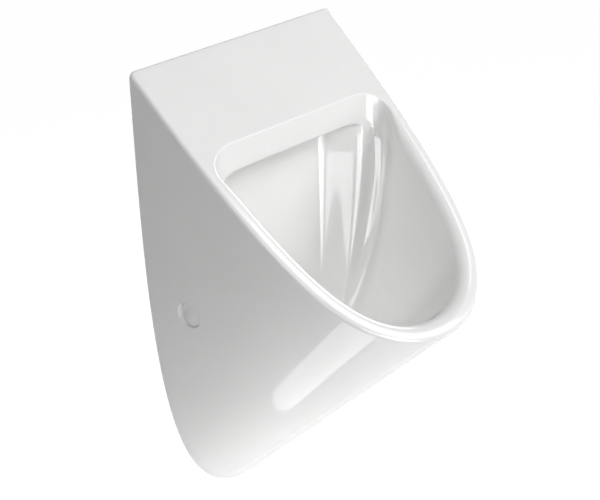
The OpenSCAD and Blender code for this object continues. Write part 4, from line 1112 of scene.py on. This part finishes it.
class URINAL_OT_side_fixings(bpy.types.Operator):
    """On each side the bracket, its nut, the screw, washer and bush, and the cover over them"""
    bl_idname = "urinal.side_fixings"
    bl_label = "Side fixings"

    def execute(self, context):
        f, finish = context.scene.urinal_fittings, context.scene.urinal_finish
        steel, bracket_steel = zinc_steel(), zinc_steel("bracket_steel", 0.85)
        bush_plastic = moulded_plastic("bush_plastic", finish.bush, 0.42, 300.0)
        cap_plastic = moulded_plastic("cap_plastic", finish.cap, 0.16, 400.0)
        for side, axis in (("left", "-x"), ("right", "x")):
            cap, bush = self.cap(side, axis, f), self.bush(side, axis, f)
            washer = ring("washer_" + side, "side_washer_" + side, axis, f.screw + f.hole_room, 0.0003)
            screw = self.screw(side, axis, f)
            nut = hex_nut("nut_" + side, "bracket_nut_" + side, axis, f.screw + f.clearance)
            add_piece(cap, cap_plastic, "cap_" + side, "cap_plastic", "side_cap_" + side)
            add_fixed([(bush, bush_plastic, "bush_plastic", "side_bush_" + side),
                       (washer, steel, "steel", "side_washer_" + side),
                       (screw, steel, "steel", "side_screw_" + side),
                       (nut, steel, "steel", "bracket_nut_" + side),
                       (self.bracket(side, f), bracket_steel, "steel", "wall_bracket_" + side)])
        return {"FINISHED"}

    def cap(self, side, axis, f):
        """A shallow dome over a round skirt: circle arcs in the profile, hollow inside."""
        start, r, deep = about("side_cap_" + side, axis)
        wall, soft = f.cap_wall, 0.0012
        within, across = np.linspace(0, r - wall, 12), np.linspace(r - soft, 0, 16)
        under = rows_of(within, ball_cap(within, r, f.cap_dome, deep) - wall)
        top = rows_of(across, ball_cap(across, r, f.cap_dome, deep))
        shoulder = arc((r - soft, top[0, 1] - soft), soft, 0, 85, 7)
        profile = np.concatenate([under, [(r - wall, 0), (r, 0)], shoulder, top[1:]])
        return lathe("cover_" + side, profile, start, axis)

    def bush(self, side, axis, f):
        """A flange, and a sleeve that fills the hole in the china."""
        start, r, length = about("side_bush_" + side, axis)
        sleeve, bore = SIDE_HOLE / 2 - f.clearance / 2, (f.screw + f.hole_room) / 2
        base = length - f.bush_flange
        corners = [(bore, 0), (sleeve, 0), (sleeve, base), (r, base), (r, length), (bore, length)]
        profile = rounded(corners, [0.0004, 0.0006, 0, 0.0003, 0.0007, 0.0004])
        return lathe("bush_" + side, profile, start, axis)

    def screw(self, side, axis, f):
        """A threaded shank under a tapered head with a hexagonal socket."""
        start, r, length = about("side_screw_" + side, axis)
        shank, neck, socket = f.screw / 2, length - f.screw_head, 0.75 * f.screw
        rows, groove = thread(shank, 0.0012, neck - RUN_OUT, *SCREW_THREAD)
        top = rounded([(shank, neck), (r, neck), (r - 0.001, length), (socket / 2, length),
                       (socket / 2, length - f.screw_head / 2), (0, length - f.screw_head / 2)],
                      [0, 0.0004, 0.0007, 0, 0, 0])

        def wave(a, h, q):
            return groove(a, h, q) + (hexagon(a, socket) - q) * (np.abs(q - socket / 2) < SAME)

        profile = np.concatenate([[(0, 0), (shank - SCREW_TIP, 0)], rows, top])
        return lathe("screw_" + side, profile, start, axis, 72, wave, 30.0)

    def bracket(self, side, f):
        """A bent plate: the arm and the wall plate are outlines carried through the
        steel, the bend a quarter ring between them, and a web stiffens it."""
        low, high = box_corners("wall_bracket_" + side)
        _, y, z = node_middle("side_screw_" + side)
        sign = -1 if side == "left" else 1
        face, inner = (low[0], high[0]) if sign < 0 else (high[0], low[0])
        t, r = f.steel, f.arm_h / 2
        bend = 2 * t
        turn = arc((y, z), r, 90, 270, 33)
        arm = prism("bracket_" + side, np.concatenate([turn, [(-bend, z - r), (-bend, z + r)]]),
                    *sorted((face, face - sign * t)), "x")
        a = np.radians(np.linspace(0, 90, 9))
        corner = rows_of(np.cos(a), np.sin(a))
        centre = np.array([face - sign * bend, -bend])
        outer = centre + bend * corner * [sign, 1]
        inside = centre + (bend - t) * corner[::-1] * [sign, 1]
        arm_end, plate_end = [(face, -bend - t), (face - sign * t, -bend - t)], face - sign * (bend + t)
        elbow = np.concatenate([arm_end[:1], outer, [(plate_end, 0), (plate_end, -t)], inside, arm_end[1:]])
        cut(arm, prism("bend", elbow, z - r, z + r, "z"), "UNION")
        wall_in = face - sign * bend
        corners = [(wall_in, low[2]), (inner, low[2]), (inner, high[2]), (wall_in, high[2])]
        plate = rounded(corners, [0.003, 0.006, 0.006, 0.003], 7)
        cut(arm, prism("plate", plate, -t, 0, "y"), "UNION")
        web_side = face - sign * (t - WEB_INSET)
        web = [(inner + sign * OVER, -t + WEB_INSET), (web_side, -f.gusset), (web_side, -t + WEB_INSET)]
        cut(arm, prism("web", web, z - t / 2, z + t / 2, "z"), "UNION")
        soften(arm, 0.0005)
        ends = -2 * OVER, t + 2 * OVER
        bore = (f.screw + f.hole_room) / 2
        cut(arm, plug(bore, *ends, (face - sign * t, y, z), "x" if sign > 0 else "-x", 48))
        for k in (-0.5, 0.5):
            place = (face - sign * f.wall_hole_in, -t, z + k * f.wall_pitch)
            cut(arm, plug(f.wall_hole / 2, *ends, place, "y", 48))
        shade(arm, 30.0)
        return arm


class URINAL_OT_waste(bpy.types.Operator):
    """The waste flange with its threaded tail, two seals and a nut, and the loose strainer"""
    bl_idname = "urinal.waste"
    bl_label = "Waste"

    def execute(self, context):
        f, finish = context.scene.urinal_fittings, context.scene.urinal_finish
        chrome, rubber = chromed(), black_rubber(finish)
        brass = turned_metal("waste_brass", finish.brass, 320.0)
        bore = f.tail + f.clearance
        flange, strainer = self.flange(f), self.strainer(f)
        upper = ring("upper_seal", "waste_upper_seal", "z", bore)
        lower = ring("lower_seal", "waste_lower_seal", "z", bore, 0.0007)
        add_piece(strainer, chrome, "strainer", "chrome", "waste_strainer")
        add_fixed([(flange, chrome, "chrome", "waste_flange"),
                   (upper, rubber, "rubber", "waste_upper_seal"),
                   (lower, rubber, "rubber", "waste_lower_seal"),
                   (hex_nut("tail_nut", "waste_nut", "z", bore), brass, "brass", "waste_nut")])
        return {"FINISHED"}

    def flange(self, f):
        """A rounded flange with the strainer's seat, over a threaded tail."""
        start, r, length = about("waste_flange", "z")
        tail, bore, base = f.tail / 2, f.tail / 2 - f.tail_wall, length - f.flange_t
        rows, groove = thread(tail, 0.001, base - RUN_OUT, *PIPE_THREAD)
        seat = length - f.seat_t
        corners = [(tail, base), (r, base), (r, length), (f.seat / 2, length), (f.seat / 2, seat),
                   (bore, seat), (bore, 0)]
        lip = rounded(corners, [0, 0.0005, 0.0014, 0.0004, 0, 0.0006, 0], 7)
        profile = np.concatenate([[(tail - PIPE_TIP, 0)], rows, lip])
        return lathe("flange", profile, start, "z", 120, groove, 30.0)

    def strainer(self, f):
        """A shallow dome of two circle arcs, pierced by rings of six, twelve and eighteen holes round one."""
        start, r, length = about("waste_strainer", "z")
        t = f.strainer_t
        across = np.linspace(r - 0.0006, 0, 22)
        top = rows_of(across, ball_cap(across, r, length - t, length))
        under = rows_of(across[::-1] * (1 - t / r), top[::-1, 1] - t)
        rim = [(r - 0.001, 0), (r - 0.0002, 0.0003), (r, 0.0008), (r - 0.0002, top[0, 1] - 0.0002)]
        dome = lathe("strainer", np.concatenate([under[:-1], rim, top]), start, "z", 96)
        n = np.repeat([1, 2, 3], [6, 12, 18])
        turn = np.concatenate([np.arange(6 * k) / (6 * k) for k in (1, 2, 3)]) * 2 * math.pi
        places = rows_of(np.cos(turn), np.sin(turn)) * column(n * f.strainer_pitch)
        places = np.concatenate([[[0, 0]], places]) + start[:2]
        ends = start[2] - OVER, start[2] + length + OVER
        cut(dome, drums("holes", places, f.strainer_hole / 2, *ends, 20))
        shade(dome, 35.0)
        return dome


class URINAL_OT_trap(bpy.types.Operator):
    """The elbow, the bottle with its union nuts, dip tube, cup and seals, and the outlet pipe"""
    bl_idname = "urinal.trap"
    bl_label = "Trap"

    def execute(self, context):
        f, finish = context.scene.urinal_fittings, context.scene.urinal_finish
        moulded = moulded_plastic("trap_plastic", finish.trap, 0.3, 350.0)
        pipes = moulded_plastic("pipe_plastic", finish.bush, 0.42, 300.0)
        rubber = black_rubber(finish, "seal_rubber")
        bore = f.pipe + f.clearance
        mouth = bore + 2 * f.trap_wall + f.clearance
        cup_bore = self.bottle_d() - 2 * f.trap_wall
        elbow, bottle, cup = self.elbow(f), self.bottle(f), self.cup(f)
        inlet_union = union_nut("inlet_union", "trap_inlet_nut", "y", bore, mouth, f.nut_lip)
        outlet_union = union_nut("outlet_union", "outlet_nut", "-y", bore, mouth, f.nut_lip)
        dip_tube = ring("dip_tube", "trap_dip_tube", "z", f.dip - 2 * f.pipe_wall)
        add_fixed([(elbow, moulded, "trap_plastic", "trap_elbow"),
                   (bottle, moulded, "trap_plastic", "trap_body"),
                   (cup, moulded, "trap_plastic", "trap_cup"),
                   (inlet_union, moulded, "trap_plastic", "trap_inlet_nut"),
                   (outlet_union, moulded, "trap_plastic", "outlet_nut"),
                   (dip_tube, pipes, "bush_plastic", "trap_dip_tube"),
                   (self.outlet(f), pipes, "bush_plastic", "outlet_pipe")])
        seals = (("inlet_union_seal", "trap_inlet_seal", "y", bore),
                 ("outlet_union_seal", "outlet_seal", "y", bore),
                 ("cup_seal", "trap_cup_seal", "z", cup_bore))
        add_fixed((ring(name, node, axis, hole), rubber, "rubber", node) for name, node, axis, hole in seals)
        return {"FINISHED"}

    def bottle_d(self):
        """Outer diameter of the bottle, as its seal's."""
        return node_size("trap_cup_seal")[0]

    def elbow(self, f):
        """A pipe's profile carried down, round a quarter turn and along to the bottle,
        with a socket on top."""
        low, high = box_corners("trap_elbow")
        y, end = node_middle("waste_flange")[1], high[1]
        level = low[2] + f.pipe / 2
        turn_z, turn_y = level + f.elbow_r, y + f.elbow_r
        hole = (f.tail + f.clearance) / 2
        wide, pipe, bore = hole + f.trap_wall, f.pipe / 2, f.pipe / 2 - f.pipe_wall
        a = np.radians(np.linspace(0, 90, 19))
        arc_c = rows_of(0, turn_y - f.elbow_r * np.cos(a), turn_z - f.elbow_r * np.sin(a))
        arc_t = rows_of(0, np.sin(a), -np.cos(a))
        down, along = np.array([0, 0, -1.0]), np.array([0, 1.0, 0])

        def upright(heights):
            return np.array([(0, y, h) for h in heights])

        soft, top = 0.0008, high[2]
        middle, stop = EDGE_MIDDLE_SHARE * soft, turn_z + f.pipe_wall
        outer = [(top, wide - soft), (top - middle, wide - middle), (top - soft, wide), (turn_z + soft, wide),
                 (turn_z + middle, wide - middle), (turn_z, wide - soft)]
        inner = [(turn_z, bore), (stop, bore), (stop, hole), (top - soft, hole), (top, hole + soft)]
        ending = [(0, end - soft, level), (0, end, level), (0, end, level)]
        centres = np.concatenate([upright([h for h, _ in outer]), arc_c, ending, arc_c[::-1],
                                  upright([h for h, _ in inner])])
        tangents = np.concatenate([np.tile(down, (len(outer), 1)), arc_t, np.tile(along, (3, 1)), arc_t[::-1],
                                   np.tile(down, (len(inner), 1))])
        radii = np.concatenate([[r for _, r in outer], np.full(len(a), pipe), [pipe, pipe - soft], [bore],
                                np.full(len(a), bore), [r for _, r in inner]])
        return piped("elbow", centres, tangents, radii)

    def bottle(self, f):
        """A turned bottle joined to two bosses along y, hollowed, with the dip tube's
        sleeve and every bore."""
        low, high = box_corners("trap_body")
        elbow_low, elbow_high = box_corners("trap_elbow")
        y, level = node_middle("trap_cup")[1], elbow_low[2] + f.pipe / 2
        r, t, bore = self.bottle_d() / 2, f.trap_wall, f.pipe / 2 - f.pipe_wall
        pipe, dip = (f.pipe + f.clearance) / 2, (f.dip + f.clearance) / 2
        seat = box_corners("trap_dip_tube")[1][2]
        upright, inlet, outlet = ((0, y, 0), "z"), ((0, 0, level), "y"), ((0, 0, 0), "y")
        corners = [(0, low[2]), (r, low[2]), (r, high[2]), (0, high[2])]
        body = lathe("bottle", rounded(corners, [0, 0.0006, 0.004, 0], 9), *upright, 96)
        cut(body, plug(pipe + t, low[1], y, *inlet, soft=0.0008), "UNION")
        cut(body, plug(pipe + t, y, high[1], *outlet, soft=0.0008), "UNION")
        cut(body, plug(r - t, low[2] - OVER, level + bore + t / 2, *upright))
        cut(body, plug(dip + t, low[2] + OVER / 2, high[2] - t / 2, *upright), "UNION")
        cut(body, plug(bore + t, y - r + t / 2, y, *inlet), "UNION")
        cut(body, plug(dip, low[2] - OVER, seat, *upright))
        cut(body, plug(dip - f.pipe_wall, low[2] + OVER, level + bore - OVER, *upright))
        cut(body, plug(bore, low[1] - OVER, y, *inlet))
        cut(body, plug(pipe, low[1] - OVER, elbow_high[1], *inlet))
        cut(body, plug(pipe, y + dip + t + OVER, high[1] + OVER, *outlet))
        shade(body, 30.0)
        return body

    def cup(self, f):
        """A turned cup with a ribbed collar."""
        start, wide, length = about("trap_cup", "z")
        r, t = self.bottle_d() / 2, f.trap_wall
        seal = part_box("trap_cup_seal")[0][2] - start[2]
        corners = [(0, 0), (r, 0), (r, seal - t), (wide, seal), (wide, length), (wide - t, length),
                   (wide - t, seal), (r - t, seal), (r - t, t), (0, t)]
        profile = rounded(corners, [0, 0.006, 0.001, 0.0012, 0.0008, 0.0005, 0, 0.0004, 0.004, 0], 7)
        collar = length - seal
        at = int(np.argmax((profile[:, 0] > wide - SAME) & (profile[:, 1] > seal + 0.5 * collar)))
        profile = with_side(profile, at, wide, seal + np.linspace(0.15, 0.92, 7) * collar)
        grip = ribs(wide, seal + 0.15 * collar, seal + 0.9 * collar, 24)
        return lathe("cup", profile, start, "z", 192, grip, 40.0)

    def outlet(self, f):
        """A pipe from the bottle that widens between the union nut and the wall."""
        start, r, length = about("outlet_pipe", "y")
        wall, pipe, t = -start[1], f.pipe / 2, f.pipe_wall
        neck = -box_corners("outlet_nut")[1][1]
        corners = [(pipe - t, 0), (pipe, 0), (pipe, wall - neck), (r, wall), (r, length), (r - t, length),
                   (r - t, wall + t), (pipe - t, wall + t - neck)]
        soft = [0.0004, 0.0006, 0.002, 0.002, 0.0006, 0.0004, 0.002, 0.002]
        return lathe("outlet", rounded(corners, soft), start, "y")


class URINAL_OT_inlet(bpy.types.Operator):
    """The supply pipe, the threaded spud with its seal, washer and nut"""
    bl_idname = "urinal.inlet"
    bl_label = "Inlet"

    def execute(self, context):
        f, finish = context.scene.urinal_fittings, context.scene.urinal_finish
        brass, steel = turned_metal("inlet_brass", finish.brass, 320.0), zinc_steel("washer_steel")
        copper = turned_metal("drawn_copper", finish.copper, 90.0)
        rubber = black_rubber(finish, "inlet_rubber")
        bore = f.spud + f.clearance
        pipe, spud, seal = self.pipe(f), self.spud(f), self.seal(f)
        washer = ring("spud_washer", "inlet_washer", "y", bore)
        add_fixed([(pipe, copper, "copper", "inlet_pipe"),
                   (spud, brass, "brass", "inlet_spud"),
                   (seal, rubber, "rubber", "inlet_seal"),
                   (washer, steel, "steel", "inlet_washer"),
                   (hex_nut("spud_nut", "inlet_nut", "y", bore), brass, "brass", "inlet_nut")])
        return {"FINISHED"}

    def pipe(self, f):
        """A drawn pipe with a collar that stops against the wall."""
        start, collar, length = about("inlet_pipe", "y")
        r, bore, wall = f.supply / 2, f.supply / 2 - f.supply_wall, -start[1]
        corners = [(bore, 0), (r, 0), (r, wall - COLLAR), (collar, wall - COLLAR), (collar, wall), (r, wall),
                   (r, length), (bore, length)]
        profile = rounded(corners, [0.0003, 0.0004, 0, 0.0012, 0.0006, 0, 0.0005, 0.0003])
        return lathe("supply", profile, start, "y")

    def spud(self, f):
        """A threaded tube with a front flange, and a shoulder inside where the pipe stops."""
        start, r, length = about("inlet_spud", "y")
        tube, bore = f.spud / 2, f.supply / 2 - f.supply_wall
        rows, groove = thread(tube, f.spud_flange + 0.004, length - 0.001, *PIPE_THREAD)
        corners = [(bore, 0), (r, 0), (r, f.spud_flange), (tube, f.spud_flange)]
        head = rounded(corners, [0.0005, 0.0007, 0.0005, 0])
        wide, deep = (f.supply + f.clearance) / 2, 2 * f.spud_flange
        tail = [(tube - PIPE_TIP, length), (wide, length), (wide, deep), (bore, deep)]
        return lathe("spud", np.concatenate([head, rows, tail]), start, "y", 96, groove, 30.0)

    def seal(self, f):
        """A cone that the spud draws into the hole in the china, with a flange behind it."""
        start, r, _ = about("inlet_seal", "y")
        bore, taper, cone, flange = (f.spud + f.clearance) / 2, 0.0009, 0.012, 0.004
        hole = box_corners("inlet_spud")[1][0] + taper
        back = box_corners("inlet_washer")[0][1] - start[1]
        corners = [(bore, 0), (hole - taper, 0), (hole, back - cone), (hole, back - flange),
                   (r, back - flange), (r, back), (bore, back)]
        profile = rounded(corners, [0.0004, 0.0006, 0.001, 0, 0.001, 0.001, 0.0004])
        return lathe("spud_seal", profile, start, "y")


class UrinalStage(bpy.types.PropertyGroup):
    """Camera and studio"""
    camera: FloatVectorProperty(name="Camera", description="Place of the camera", size=3,
                                subtype="TRANSLATION", default=(-1.48571, -1.43388, 1.01507))
    aim: FloatVectorProperty(name="Aim", description="Direction of view", size=3, subtype="DIRECTION",
                             default=(0.68658, 0.618422, -0.382313))
    upright: FloatVectorProperty(name="Upright", description="Upward direction of the picture", size=3,
                                 subtype="DIRECTION", default=(0.307985, 0.228944, 0.923434))
    lens: FloatProperty(name="Lens", description="Focal length", default=106.111, unit="CAMERA")
    ambient: FloatProperty(name="Ambient", description="Light of the studio that the soft boxes don't give",
                           default=0.0, min=0.0)
    card: FloatProperty(name="Card", default=2.5, min=0.0,
                        description="Glow of the card under the left side, seen in reflections only")


def soft_box(name, place, size, radiance, matt):
    """A soft box that faces the subject, for matt surfaces or for reflections, which
    stands a little nearer. Its power is its radiance times pi times its area."""
    data = bpy.data.lights.new(name, "AREA")
    data.shape, data.size, data.size_y = "RECTANGLE", size[0], size[1]
    data.energy = radiance * math.pi * size[0] * size[1]
    obj = bpy.data.objects.new(name, data)
    obj.location = Vector(place) if matt else Vector(place).lerp(Vector(SUBJECT), NEARER_SHARE)
    obj.visible_camera, obj.visible_glossy, obj.visible_diffuse = False, not matt, matt
    obj.rotation_euler = (Vector(SUBJECT) - Vector(place)).to_track_quat("-Z", "Y").to_euler()
    bpy.context.scene.collection.objects.link(obj)


def sheet(name, corners, material):
    """A flat sheet through four corners."""
    obj = mesh_object(name, np.array(corners), [[0, 1, 2, 3]])
    obj.data.materials.append(material)
    return obj


class URINAL_OT_stage(bpy.types.Operator):
    """Camera at the photographed angle, a pale floor and soft boxes"""
    bl_idname = "urinal.stage"
    bl_label = "Stage"

    def execute(self, context):
        s = context.scene.urinal_stage
        self.camera(context, s)
        floor_z = float(CAD_BOX[0][2]) - FLOOR_DROP
        spread = ((-1, -1), (1, -1), (1, 1), (-1, 1))
        corners = [(x * FLOOR_HALF, y * FLOOR_HALF, floor_z) for x, y in spread]
        floor = sheet("floor", corners, self.paper())
        self.studio(context, s)
        for name, place, size, matt, gloss in SOFT_BOXES:
            for radiance, is_matt in ((matt, True), (gloss, False)):
                if radiance:
                    soft_box(name, place, size, radiance, is_matt)
        card = sheet("card", CARD, self.card_glow(s.card))
        card.visible_camera = card.visible_diffuse = card.visible_shadow = False
        context.scene.view_settings.view_transform = "Standard"
        return {"FINISHED"}

    def camera(self, context, s):
        """The camera, turned to its aim."""
        data = bpy.data.cameras.new("camera")
        data.lens, data.sensor_width, data.clip_end = s.lens, FILM, 50
        camera = bpy.data.objects.new("camera", data)
        aim, upright = Vector(s.aim).normalized(), Vector(s.upright).normalized()
        right = aim.cross(upright).normalized()
        turn = Matrix((right, right.cross(aim), -aim)).transposed()
        camera.matrix_world = Matrix.Translation(s.camera) @ turn.to_4x4()
        context.scene.collection.objects.link(camera)
        context.scene.camera = camera

    def studio(self, context, s):
        """White to camera, glossy and transmission rays, and the ambient level to the others."""
        world = bpy.data.worlds.new("studio")
        world.use_nodes = True
        context.scene.world = world
        nodes = Nodes(world.node_tree)
        strength = s.ambient + (1 - s.ambient) * nodes.seen()
        nodes.set(nodes.tree.nodes["Background"], {"Color": (1, 1, 1, 1), "Strength": strength})

    def paper(self):
        """Pale paper with a faint grain, which camera, glossy and transmission rays see
        for the most part as plain white."""
        shader = Shader("floor_paper", Roughness=0.9)
        grain = shader.blend(shader.noise(30.0), rgba((0.78,) * 3), rgba((0.82,) * 3))
        shader.set(shader.surface, {"Base Color": grain})
        paper = Value(shader, shader.surface.outputs[0])
        white = shader.glow(FLOOR_WHITE)
        shader.show(shader.node("ShaderNodeMixShader", {}, {
            0: FLOOR_WHITE_SHARE * shader.seen(), 1: paper, 2: white}))
        return shader.material

    def card_glow(self, strength):
        """A plain glow."""
        shader = Shader("card_glow")
        shader.show(shader.glow(strength))
        return shader.material


class URINAL_PT_panel(bpy.types.Panel):
    """Sizes, finishes and the steps that build the urinal"""
    bl_idname = "URINAL_PT_panel"
    bl_label = "Wall Hung Urinal"
    bl_space_type = "VIEW_3D"
    bl_region_type = "UI"
    bl_category = "Urinal"

    def draw(self, context):
        for key in GROUPS:
            group, box = getattr(context.scene, key), self.layout.box()
            for name in group.bl_rna.properties.keys():
                if name not in ("rna_type", "name"):
                    box.prop(group, name)
        for operator in OPERATORS:
            self.layout.operator(operator.bl_idname)


GROUPS = {"urinal_china": UrinalChina, "urinal_fittings": UrinalFittings, "urinal_finish": UrinalFinish,
          "urinal_stage": UrinalStage}
OPERATORS = (URINAL_OT_china, URINAL_OT_side_fixings, URINAL_OT_waste, URINAL_OT_trap, URINAL_OT_inlet,
             URINAL_OT_stage)


def register():
    for name, group in GROUPS.items():
        bpy.utils.register_class(group)
        setattr(bpy.types.Scene, name, PointerProperty(type=group))
    for operator in OPERATORS:
        bpy.utils.register_class(operator)
    bpy.utils.register_class(URINAL_PT_panel)


def unregister():
    bpy.utils.unregister_class(URINAL_PT_panel)
    for operator in OPERATORS:
        bpy.utils.unregister_class(operator)
    for name, group in GROUPS.items():
        delattr(bpy.types.Scene, name)
        bpy.utils.unregister_class(group)


def main():
    register()
    bpy.ops.urinal.china()
    bpy.ops.urinal.side_fixings()
    bpy.ops.urinal.waste()
    bpy.ops.urinal.trap()
    bpy.ops.urinal.inlet()
    bpy.ops.urinal.stage()


if __name__ == "__main__":
    main()
